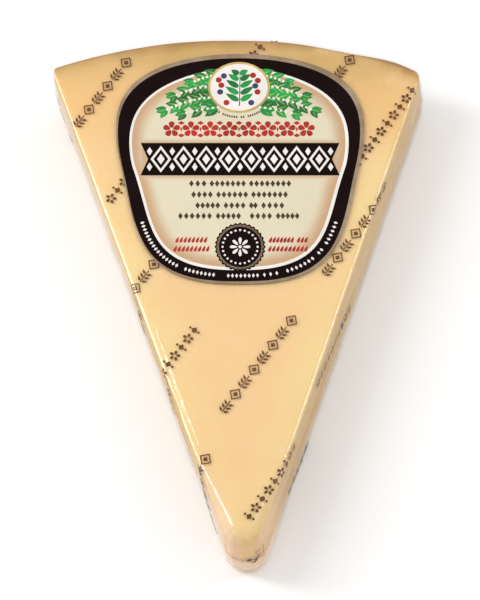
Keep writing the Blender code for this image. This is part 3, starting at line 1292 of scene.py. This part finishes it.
def block_figures():
    """Two bolder figures: a flower of five petals, and a lozenge between two beads."""
    petals = flower(FLOWER_PETALS, BLOCK_PETAL_REACH, BLOCK_PETAL, BLOCK_FLOWER_TURN)
    beads = [ellipse(BLOCK_BEAD, BLOCK_BEAD, 8, (0, side * BLOCK_BEAD_OUT)) for side in (-1, 1)]
    stack = [print_plate(lozenge(*BLOCK_LOZENGE))]
    stack += [(bead, 0, PRINT_DEPTH) for bead in beads]
    return [(petal, 0, PRINT_DEPTH) for petal in petals], stack


# Dark strokes on the gathered film's wrinkles at the tip, partly print and partly painted shade in the
# creases: places as (share of the tip's arc from the left, height in mm), and the width of the stroke
TIP_CREASE_PRINT_AND_SHADE = (
    (((0.42, 10.5), (0.54, 10.2), (0.66, 10.8), (0.80, 12.6)), 0.9),
    (((0.58, 8.7), (0.68, 8.9), (0.80, 10.6), (0.94, 14.0)), 0.8),
    (((0.20, 11.6), (0.30, 10.6), (0.38, 10.3)), 0.45),
    (((0.70, 13.6), (0.80, 14.6), (0.90, 16.6)), 0.5),
)
WRINKLE_STEPS = 16
WRINKLE_END = 0.12
WRINKLE_LOW = 0.01 * MM
WRINKLE_HIGH = 0.03 * MM


def wrinkle_mesh(fold, bends, width):
    """A thin dark stroke, pointed at both ends, that lies on the film round the tip, partly print and partly
    painted shade in a crease.
    """
    points, faces = [], []
    for step in range(WRINKLE_STEPS + 1):
        along = step / WRINKLE_STEPS * (len(bends) - 1)
        place = min(int(along), len(bends) - 2)
        ends = zip(bends[place], bends[place + 1])
        share_of_arc, height = (a + (b - a) * (along - place) for a, b in ends)
        column = share_of_arc * (TIP_STEPS - 1)
        half = width / 2 * max(math.sin(math.pi * step / WRINKLE_STEPS), WRINKLE_END)
        low, high = WRINKLE_LOW, WRINKLE_HIGH
        for up, lift in ((-half, low), (half, low), (half, high), (-half, high)):
            spot = fold.at_height(int(column), column - int(column), (height + up) * MM)
            points.append(fold.on_film(spot, lift))
    for step in range(WRINKLE_STEPS):
        for a in range(4):
            b = (a + 1) % 4
            faces.append((4 * step + a, 4 * step + b, 4 * step + 4 + b, 4 * step + 4 + a))
    faces += [(3, 2, 1, 0), tuple(4 * WRINKLE_STEPS + a for a in range(4))]
    mesh = bpy.data.meshes.new("wrinkle")
    mesh.from_pydata(points, [], faces)
    builder = bmesh.new()
    builder.from_mesh(mesh)
    bmesh.ops.recalc_face_normals(builder, faces=builder.faces[:])
    builder.to_mesh(mesh)
    builder.free()
    return mesh


def print_paths(kind, odd, pitch, count):
    """Straight paths for every other figure of the rows of a kind."""
    run = Vector((math.cos(PRINT_TURN), math.sin(PRINT_TURN)))
    across = Vector((-run.y, run.x))
    paths = []
    for offset, start, row_kind in PRINT_ROWS:
        if row_kind == kind:
            first = LABEL_MIDDLE.xy + across * offset * MM + run * (start * MM + odd * pitch)
            paths.append([tuple(first), tuple(first + run * pitch * (count - 2))])
    return paths


def label_cover(sizes):
    """A test for whether the label hides a flat point."""
    outline = shield(sizes.half_width - MM, sizes.half_height - MM, label_form(sizes), steps=64)
    corners = [Vector(point) + LABEL_MIDDLE.xy for point in outline]

    def hides(flat):
        inside = False
        for place, start in enumerate(corners):
            end = corners[place - 1]
            if (start.y > flat.y) != (end.y > flat.y):
                inside ^= flat.x < (end.x - start.x) * (flat.y - start.y) / (end.y - start.y) + start.x
        return inside

    return hides


class CHEESE_OT_film_print(bpy.types.Operator):
    """Make the rows of brown figures that are printed on the film"""

    bl_idname = "cheese_wedge.film_print"
    bl_label = "Make Film Print"

    def execute(self, context):
        given = settings(context)
        fold = FilmFold(given.wedge, sides_meet(given.label), bpy.data.objects["film"].data)
        ink = ink_material("film_ink", given.wedge_colours.print_ink, 0.12, (0.4, 0.6))
        under_label = label_cover(given.label)
        kinds = (
            ("sprig", sprig_figures(), SPRIG_PITCH, SPRIG_COUNT),
            ("block", block_figures(), BLOCK_PITCH, BLOCK_COUNT),
        )
        meshes = []
        for kind, figures, pitch, count in kinds:
            for odd, plates in enumerate(figures):
                figure = plates_mesh(kind, plates)
                points = len(figure.vertices)
                flat = row_mesh(kind, print_paths(kind, odd, pitch, count), figure, count // 2, ink)
                meshes.append(inked(fold.fold(flat, points, PRINT_LIFT, under_label), ink))
        # Dark strokes in the tip's creases: partly print, partly painted shade
        meshes += [inked(wrinkle_mesh(fold, bends, width), ink) for bends, width in TIP_CREASE_PRINT_AND_SHADE]
        new_piece("film_print", joined("film_print", meshes), "sealed_wedge")
        return {"FINISHED"}


# The print sits a little to the left of the label's middle
PRINT_OFFSET = -0.3 * MM
BAND_FORM = (0.188, 0.20, 2.04, 2.62)
LINE_FORM = (0.249, 0.301, 1.58, 2.42)
FIELD_OFFSET = 0.1 * MM


def band_outline(sizes):
    middle = (PRINT_OFFSET, PRINT_OFFSET)
    return shield(sizes.band_half_width, sizes.band_half_height, BAND_FORM, middle)


def line_outline(sizes):
    return shield(sizes.line_half_width, sizes.line_half_height, LINE_FORM, (PRINT_OFFSET, 0))


def label_piece(name, meshes):
    new_piece(name, place_on_label(joined(name, meshes)), "label")


def level_plates(outlines, layer):
    """One mesh of a plate for each outline, all in a layer of the print."""
    return plates_mesh("figure", [(outline, *layer) for outline in outlines])


def one_plate(material, outline, layer):
    return inked(level_plates([outline], layer), material)


def straight_path(start, end, up):
    return [[(start, up), (end, up)]]


class CHEESE_OT_label_ground(bpy.types.Operator):
    """Make the label's paper with its border, black band, white line and cream field"""

    bl_idname = "cheese_wedge.label_ground"
    bl_label = "Make Label Ground"

    def execute(self, context):
        given = settings(context)
        sizes, colours = given.label, given.label_colours
        border = dull_gold_ink("dull_gold", colours.border, colours.border_light)
        outer = shield(sizes.half_width, sizes.half_height, label_form(sizes))
        line = line_outline(sizes)
        inner = moved(inset_outline(line, sizes.line_width), -FIELD_OFFSET, FIELD_OFFSET)
        field = inked(field_mesh(inner, *FIELD), field_material(sizes, colours))
        meshes = [
            one_plate(border, outer, GROUND),
            one_plate(black_ink("black_ink", colours), band_outline(sizes), BAND),
            one_plate(white_ink("white_ink", colours), line, LINE),
        ]
        label_piece("label_ground", meshes)
        new_piece("label_field", place_on_label(field), "label")
        return {"FINISHED"}


FRIEZE_PITCH = 6.1 * MM
FRIEZE_FIGURES = 8
FRIEZE_LOZENGE = (5.6 * MM, 7.9 * MM)
FRIEZE_HOLE = (0.72, 0.74)
FRIEZE_CORE = (2.1 * MM, 3.2 * MM)
BETWEEN_LOZENGE = (1.5 * MM, 2.5 * MM)
BETWEEN_UP = 2.3 * MM


class CHEESE_OT_label_banner(bpy.types.Operator):
    """Make the black banner with its white frieze"""

    bl_idname = "cheese_wedge.label_banner"
    bl_label = "Make Banner"

    def execute(self, context):
        given = settings(context)
        sizes, colours = given.label, given.label_colours
        w, h = sizes.banner_half_width, sizes.banner_half_height
        up, notch = sizes.banner_up, sizes.banner_notch
        outline = [(-w, up - h), (w, up - h), (w - notch, up), (w, up + h), (-w, up + h), (-w + notch, up)]
        ring = lozenge(*FRIEZE_LOZENGE)
        hole = scaled(ring, *FRIEZE_HOLE)
        core = lozenge(*FRIEZE_CORE)
        figure = plates_mesh("frieze", [(ring, *ON_PRINT, hole), (core, *ON_PRINT)])
        small = level_plates([lozenge(*BETWEEN_LOZENGE)], ON_PRINT)
        half = FRIEZE_PITCH * (FRIEZE_FIGURES - 1) / 2
        between_half = FRIEZE_PITCH * FRIEZE_FIGURES / 2
        between_rows = []
        for side in (-BETWEEN_UP, BETWEEN_UP):
            between_rows += straight_path(-between_half, between_half, up + side)
        white = white_ink("frieze_ink", colours)
        meshes = [
            one_plate(black_ink("banner_ink", colours), outline, PRINT),
            row_mesh("frieze", straight_path(-half, half, up), figure, FRIEZE_FIGURES, white),
            row_mesh("between", between_rows, small, FRIEZE_FIGURES + 1, white),
        ]
        label_piece("label_banner", meshes)
        return {"FINISHED"}


# Rows of small figures: height above the label's middle, then start and end of each stretch, in millimetres
BROWN_ROWS = (
    (-4.7, ((-13.1, -9.7), (-7.6, 0.9), (3.0, 13.1))),
    (-7.95, ((-12.5, -8.0), (-5.8, 1.5), (3.6, 12.2))),
    (-11.15, ((-11.4, -6.0), (-3.8, 0.8), (3.0, 4.1), (6.3, 11.2))),
    (-14.25, ((-16.0, -8.2), (-5.9, -0.4), (3.2, 7.9), (10.2, 15.3))),
)
SIDE_ROWS = (
    (-21.4, ((-16.9, -9.3), (8.1, 13.9), (15.6, 17.6))),
    (-24.0, ((-17.4, -8.7), (7.9, 17.6))),
)
FEWEST = 2
BROWN_PITCH = 1.45
SIDE_PITCH = 1.05
BROWN_BEAD = (1.25 * MM, 1.95 * MM)
SIDE_TICK = (2.2 * MM, 0.78 * MM, 6, (-0.35 * MM, -0.95 * MM), math.radians(68))
PETAL_STEPS = 18
PETAL_FULLNESS = 0.35
RED_UP = 11.4 * MM
RED_HALF = 18.2 * MM
RED_FLOWERS = 8
RED_PETAL = (1.95 * MM, 1.5 * MM, PETAL_STEPS, PETAL_FULLNESS)
RED_PETAL_REACH = 1.36 * MM
RED_STROKE = (0.55 * MM, 1.5 * MM)
RED_DOT = (1.9 * MM, 1.2 * MM)
RED_DOT_UP = 1.85 * MM


def stretch_rows(name, rows, pitch, outline, ink):
    """One small figure repeated along each stretch of the rows."""
    meshes = []
    for up, stretches in rows:
        for start, end in stretches:
            count = max(FEWEST, round((end - start) / pitch) + 1)
            path = straight_path(start * MM, end * MM, up * MM)
            meshes.append(row_mesh(name, path, level_plates([outline], PRINT), count, ink))
    return meshes


class CHEESE_OT_label_rows(bpy.types.Operator):
    """Make the red line, the brown rows and the red side rows"""

    bl_idname = "cheese_wedge.label_rows"
    bl_label = "Make Label Rows"

    def execute(self, context):
        colours = settings(context).label_colours
        red = ink_material("red_ink", colours.red, 0.1)
        brown = ink_material("brown_ink", colours.brown, 0.1)
        petals = flower(FLOWER_PETALS, RED_PETAL_REACH, RED_PETAL, math.pi / 2)
        stack = [lozenge(*RED_STROKE)]
        stack += [lozenge(*RED_DOT, (0, side * RED_DOT_UP)) for side in (-1, 1)]
        meshes = []
        for outlines, count in ((petals, RED_FLOWERS), (stack, RED_FLOWERS - 1)):
            half = RED_HALF * (count - 1) / (RED_FLOWERS - 1)
            path = straight_path(PRINT_OFFSET - half, PRINT_OFFSET + half, RED_UP)
            meshes.append(row_mesh("red_row", path, level_plates(outlines, PRINT), count, red))
        meshes += stretch_rows("brown_row", BROWN_ROWS, BROWN_PITCH, lozenge(*BROWN_BEAD), brown)
        meshes += stretch_rows("side_row", SIDE_ROWS, SIDE_PITCH, leaf(*SIDE_TICK), red)
        label_piece("label_rows", meshes)
        return {"FINISHED"}


SCALLOP_DEPTH = 0.42 * MM
SEAL_RING_INSET = 0.46 * MM
SEAL_RING_DEPTH = 0.34 * MM
SEAL_RING_RISE = 0.013 * MM
SEAL_BEADS = 24
SEAL_BEAD = 0.62 * MM
ROSETTE_PETALS = 8
ROSETTE_PETAL = (2.0 * MM, 0.8 * MM, PETAL_STEPS, PETAL_FULLNESS)
ROSETTE_REACH = 1.75 * MM
ROSETTE_EYE = 0.9 * MM
DASH = (0.78 * MM, 1.25 * MM)
DASH_PITCH = 1.02 * MM

# Widths of the seal's disc and of its ring of beads, as shares of its radius
DISC_SHARE = 1.67
BEADS_SHARE = 1.38

# Stretches along the black band that hold dashes, as places of its outline's points
DASH_STRETCHES = ((73, 86), (88, 93), (95, 98), (99, 101), (103, 109), (111, 112), (114, 119))


def band_dashes(sizes, ink):
    """Dashes along the middle of the black band."""
    edges = zip(band_outline(sizes), line_outline(sizes))
    middle_line = [Vector(a).lerp(Vector(b), 0.5) for a, b in edges]
    meshes = []
    for first, last in DASH_STRETCHES:
        stretch = middle_line[first : last + 1]
        reach = sum((b - a).length for a, b in zip(stretch, stretch[1:]))
        count = max(FEWEST, round(reach / DASH_PITCH))
        path = [[tuple(point) for point in stretch]]
        meshes.append(row_mesh("dashes", path, level_plates([lozenge(*DASH)], LINE), count, ink))
    return meshes


class CHEESE_OT_label_seal(bpy.types.Operator):
    """Make the scalloped seal at the foot of the label, and the dashes along the band"""

    bl_idname = "cheese_wedge.label_seal"
    bl_label = "Make Seal"

    def execute(self, context):
        given = settings(context)
        sizes, colours = given.label, given.label_colours
        ring_ink = dull_gold_ink("seal_gold", colours.seal_ring, colours.seal_ring_light)
        black = black_ink("seal_ink", colours)
        white = white_ink("seal_white", colours)
        radius, up, stretch = sizes.seal_radius, sizes.seal_up, sizes.seal_stretch

        def wheel(reach, depth):
            return moved(scaled(wheel_shape(reach, depth, sizes.seal_scallops), 1, stretch), 0, up)

        def oval(share_of_radius, steps):
            return ellipse(radius * share_of_radius, radius * share_of_radius * stretch, steps, (0, up))

        beads = level_plates([ellipse(SEAL_BEAD, SEAL_BEAD, 10)], RIM)
        rosette = flower(ROSETTE_PETALS, ROSETTE_REACH, ROSETTE_PETAL, up=up)
        rosette.append(ellipse(ROSETTE_EYE, ROSETTE_EYE, 16, (0, up)))
        ring = wheel(radius - SEAL_RING_INSET, SEAL_RING_DEPTH)
        meshes = [
            one_plate(black, wheel(radius, SCALLOP_DEPTH), PRINT),
            one_plate(ring_ink, ring, raised(PRINT, SEAL_RING_RISE)),
            one_plate(black, oval(DISC_SHARE, 96), ON_PRINT),
            row_mesh("beads", [oval(BEADS_SHARE, 64)], beads, SEAL_BEADS, white, closed=True),
            inked(level_plates(rosette, RIM), white),
        ]
        label_piece("label_seal", meshes + band_dashes(sizes, white))
        return {"FINISHED"}


# Garlands beside the emblem on the right: start, middle and end in millimetres, and the pairs of leaves
GARLANDS = (
    ((5.2, 27.7), (8.8, 27.3), (12.0, 25.7), 3),
    ((6.4, 24.3), (12.0, 24.2), (16.8, 21.6), 4),
    ((6.8, 20.9), (13.2, 20.6), (19.4, 17.3), 5),
    ((5.6, 17.9), (10.0, 17.5), (14.2, 16.2), 3),
)
GARLAND_STEPS = 12
GARLAND_RISE = 0.004 * MM
GARLAND_LEAF = (4.5 * MM, 2.3 * MM, 9)
GARLAND_RIB = (3.6 * MM, 0.26 * MM, 6)
GARLAND_TURN = 0.5
GARLAND_LAST_SIZE = 0.72
BUD_WIDTH = 0.74 * MM
BUD_RISE = 12 * GARLAND_RISE


def garland_path(start, middle, end, side):
    """Points of a bent stem, mirrored for the left side."""
    points = []
    for step in range(GARLAND_STEPS + 1):
        t = step / GARLAND_STEPS
        x, y = ((1 - t) ** 2 * a + 2 * t * (1 - t) * b + t * t * c for a, b, c in zip(start, middle, end))
        points.append((side * x * MM + PRINT_OFFSET, y * MM))
    return points


def garland_meshes(green, dark, vein, white):
    """Rows of leaves with ribs, each a little above the row before it, and buds above them all."""
    layer = PRINT
    meshes = []
    for place, (first, middle, last, pairs) in enumerate(GARLANDS):
        paths = [garland_path(first, middle, last, side) for side in (-1, 1)]
        bud = level_plates([ellipse(BUD_WIDTH, BUD_WIDTH, 10)], raised(PRINT, BUD_RISE))
        meshes.append(row_mesh("buds", paths, bud, 2 * pairs + 1, white))
        one_side, other_side = (green, dark) if place % 2 else (dark, green)
        for turn, tone in ((-GARLAND_TURN, one_side), (GARLAND_TURN, other_side), (0.0, green)):
            count = pairs if turn else 2
            leaves = level_plates([leaf(*GARLAND_LEAF)], layer)
            ribs = level_plates([leaf(*GARLAND_RIB)], raised(layer, GARLAND_RISE / 2))
            for figure, ink in ((leaves, tone), (ribs, vein)):
                meshes.append(row_mesh("garland", paths, figure, count, ink, 1.0, GARLAND_LAST_SIZE, turn))
            layer = raised(layer, GARLAND_RISE)
    return meshes


# The medallion's sprig, about the medallion's middle, in millimetres: corners of the stem, (height, length)
# of the pairs of leaves, and (x, y, ink) of the berries
STEM = ((-0.35, -5.6), (0.0, -5.6), (0.1, 4.8), (-0.1, 4.8))
MEDALLION_LEAVES = ((-4.2, 4.4), (-2.2, 4.6), (-0.1, 4.3), (2.0, 3.6), (3.8, 2.7))
STEM_OFFSET = -0.15 * MM
MEDALLION_LEAF_WIDTH = 1.65 * MM
MEDALLION_LEAF_TURN = 58
BERRIES = (
    (-4.9, 0.6, "red"),
    (-5.6, 2.2, "red"),
    (-4.2, 3.4, "blue"),
    (4.3, 0.4, "blue"),
    (5.0, 2.0, "red"),
    (3.7, 3.6, "red"),
    (-5.2, -1.4, "blue"),
    (4.9, -1.4, "red"),
    (-3.5, -4.6, "red"),
    (3.2, -4.6, "blue"),
)
BERRY_WIDTH = 1.65 * MM
BERRY_OFFSET = 0.2 * MM
RIM_WIDTH = 0.6 * MM
OVAL_RISE = 0.012 * MM
DOTS_OUT = 1.3 * MM
DOT = (0.42 * MM, 0.75 * MM, 8)

# Stretches round the medallion that hold dots, as places of an oval of points
OVAL_STEPS = 96
DOT_STRETCHES = ((58, 63), (65, 71), (73, 74), (76, 86))


def medallion_sprig(inks, up):
    """A stem with pairs of leaves and with berries, one mesh for each ink."""
    outlines = {tone: [] for tone in inks}
    outlines["dark"].append([(x * MM, up + y * MM) for x, y in STEM])
    for place, (y, span) in enumerate(MEDALLION_LEAVES):
        for side in (-1, 1):
            start = (STEM_OFFSET, y * MM + up)
            turn = math.radians(90 - side * MEDALLION_LEAF_TURN)
            tone = "green" if (place + (side > 0)) % 2 else "dark"
            outlines[tone].append(leaf(span * MM, MEDALLION_LEAF_WIDTH, 10, start, turn))
    for x, y, tone in BERRIES:
        middle = (x * MM - BERRY_OFFSET, up + y * MM)
        outlines[tone].append(ellipse(BERRY_WIDTH, BERRY_WIDTH, 16, middle))
    return [inked(level_plates(outlines[tone], SPRIG), ink) for tone, ink in inks.items()]


class CHEESE_OT_label_emblem(bpy.types.Operator):
    """Make the oval emblem with its sprig, and the leaves on both sides of it"""

    bl_idname = "cheese_wedge.label_emblem"
    bl_label = "Make Emblem"

    def execute(self, context):
        given = settings(context)
        sizes, colours = given.label, given.label_colours
        gold = ink_material("gold_ring", colours.gold, 0.1, (0.25, 0.4))
        white = white_ink("emblem_white", colours)
        vein = ink_material("vein_ink", colours.vein, 0.1)
        brown = ink_material("dot_ink", colours.brown, 0.1)
        inks = {
            "green": ink_material("green_ink", colours.green, 0.15),
            "dark": ink_material("dark_green_ink", colours.green_dark, 0.15),
            "red": ink_material("berry_ink", colours.red, 0.1),
            "blue": ink_material("blue_ink", colours.blue, 0.1),
        }

        def oval(further_out):
            width = 2 * (sizes.emblem_half_width + further_out)
            height = 2 * (sizes.emblem_half_height + further_out)
            return ellipse(width, height, OVAL_STEPS, (PRINT_OFFSET, sizes.emblem_up))

        meshes = garland_meshes(inks["green"], inks["dark"], vein, white)
        meshes += medallion_sprig(inks, sizes.emblem_up)
        meshes.append(one_plate(gold, oval(0), RIM))
        meshes.append(one_plate(white, oval(-RIM_WIDTH), raised(RIM, OVAL_RISE)))
        for first, last in DOT_STRETCHES:
            path = [oval(DOTS_OUT)[first : last + 1]]
            dot = level_plates([ellipse(*DOT)], PRINT)
            meshes.append(row_mesh("dots", path, dot, last - first + 1, brown))
        label_piece("label_emblem", meshes)
        return {"FINISHED"}


# Stage

FLOOR_HALF = 3.0
FLOOR_DROP = 0.0002
SENSOR_WIDTH = 36
CLIP_START = 0.01
CLIP_END = 20
LIGHT_DISTANCE = 0.75
KEY_WAY = (-0.72, 0.15, 0.68)
KEY_SIZE = (0.20, 0.64)
FILL_WAY = (0.72, 0.15, 0.68)
FILL_SIZE = (0.08, 0.45)


def floor_material(picture_colour):
    material, tree = new_material("floor")
    base = linear(picture_colour)
    tone = patches(tree, object_place(tree), (0.01, 2, 0.5), 0.3, 0.7)
    paper = mix_colours(tree, tone, base, tuple(part * 0.995 for part in base))
    inputs = {"Base Color": paper, "Roughness": 0.9, "Specular IOR Level": 0.1}
    finish_material(tree, output_of(tree, "BSDF", "ShaderNodeBsdfPrincipled", inputs))
    return material


def add_floor(scene, picture_colour):
    mesh = bpy.data.meshes.new("floor")
    corners = [(x * FLOOR_HALF, y * FLOOR_HALF, 0) for x, y in ((-1, -1), (1, -1), (1, 1), (-1, 1))]
    mesh.from_pydata(corners, [], [(0, 1, 2, 3)])
    floor = bpy.data.objects.new("floor", inked(mesh, floor_material(picture_colour)))
    floor.location.z = -FLOOR_DROP
    scene.collection.objects.link(floor)


def add_softbox(name, direction, size, power, target):
    light = bpy.data.lights.new(name, "AREA")
    light.shape = "RECTANGLE"
    light.size, light.size_y = size
    light.energy = power
    lamp = bpy.data.objects.new(name, light)
    bpy.context.scene.collection.objects.link(lamp)
    way = Vector(direction).normalized()
    lamp.location = Vector(target) + way * LIGHT_DISTANCE
    lamp.rotation_euler = way.to_track_quat("Z", "Y").to_euler()


def add_world(scene, strength):
    world = bpy.data.worlds.new("surround")
    world.use_nodes = True
    tree = world.node_tree
    tree.nodes.clear()
    inputs = {"Color": CLEAR, "Strength": strength}
    background = output_of(tree, "Background", "ShaderNodeBackground", inputs)
    add_node(tree, "ShaderNodeOutputWorld", {"Surface": background})
    scene.world = world


def add_camera(scene, stage, origin):
    camera = bpy.data.objects.new("camera", bpy.data.cameras.new("camera"))
    camera.data.lens = stage.lens
    camera.data.sensor_width = SENSOR_WIDTH
    camera.data.clip_start = CLIP_START
    camera.data.clip_end = CLIP_END
    scene.collection.objects.link(camera)
    back = Vector((0, -math.cos(stage.elevation), math.sin(stage.elevation)))
    up = Vector((0, math.sin(stage.elevation), math.cos(stage.elevation)))
    aim = Vector((origin.x, origin.y + stage.aim_from_sides_meet, stage.aim_height))
    aim += Vector((stage.pan_right, 0, 0)) + up * stage.pan_up
    camera.location = aim + back * stage.distance
    camera.rotation_euler = Euler((math.pi / 2 - stage.elevation, 0, 0))
    scene.camera = camera


class CHEESE_OT_stage(bpy.types.Operator):
    """Make the floor, the lights and the camera"""

    bl_idname = "cheese_wedge.stage"
    bl_label = "Make Stage"

    def execute(self, context):
        given = settings(context)
        stage, scene = given.stage, context.scene
        scene.view_settings.view_transform = "Standard"
        scene.view_settings.look = "None"
        add_floor(scene, stage.floor_colour)
        add_world(scene, stage.world_light)
        target = (0, 0, stage.aim_height)
        add_softbox("key", KEY_WAY, KEY_SIZE, stage.key_power, target)
        add_softbox("fill", FILL_WAY, FILL_SIZE, stage.fill_power, target)
        add_camera(scene, stage, sides_meet(given.label))
        return {"FINISHED"}


# Add-on

PIECES = (
    CHEESE_OT_paste,
    CHEESE_OT_film,
    CHEESE_OT_film_print,
    CHEESE_OT_label_ground,
    CHEESE_OT_label_banner,
    CHEESE_OT_label_rows,
    CHEESE_OT_label_seal,
    CHEESE_OT_label_emblem,
    CHEESE_OT_stage,
)


class CHEESE_PT_wedge(bpy.types.Panel):
    """Sizes, colours and pieces of the sealed wedge"""

    bl_label = "Cheese Wedge"
    bl_idname = "CHEESE_PT_wedge"
    bl_space_type = "VIEW_3D"
    bl_region_type = "UI"
    bl_category = "Cheese Wedge"

    def draw(self, context):
        given = settings(context)
        for group_name in ("wedge", "wedge_colours", "label", "label_colours", "stage"):
            group = getattr(given, group_name)
            box = self.layout.box()
            box.label(text=group_name.replace("_", " ").capitalize())
            for name in group.__annotations__:
                box.prop(group, name)
        for operator in PIECES:
            self.layout.operator(operator.bl_idname)


CLASSES = (
    WedgeSizes,
    WedgeColours,
    LabelSizes,
    LabelColours,
    StageSettings,
    CheeseWedgeSettings,
    *PIECES,
    CHEESE_PT_wedge,
)


def register():
    for item in CLASSES:
        bpy.utils.register_class(item)
    bpy.types.Scene.cheese_wedge = PointerProperty(type=CheeseWedgeSettings)


def unregister():
    del bpy.types.Scene.cheese_wedge
    for item in reversed(CLASSES):
        bpy.utils.unregister_class(item)


def main():
    register()
    operators = bpy.ops.cheese_wedge
    for operator in PIECES:
        getattr(operators, operator.bl_idname.split(".")[1])()


if __name__ == "__main__":
    main()
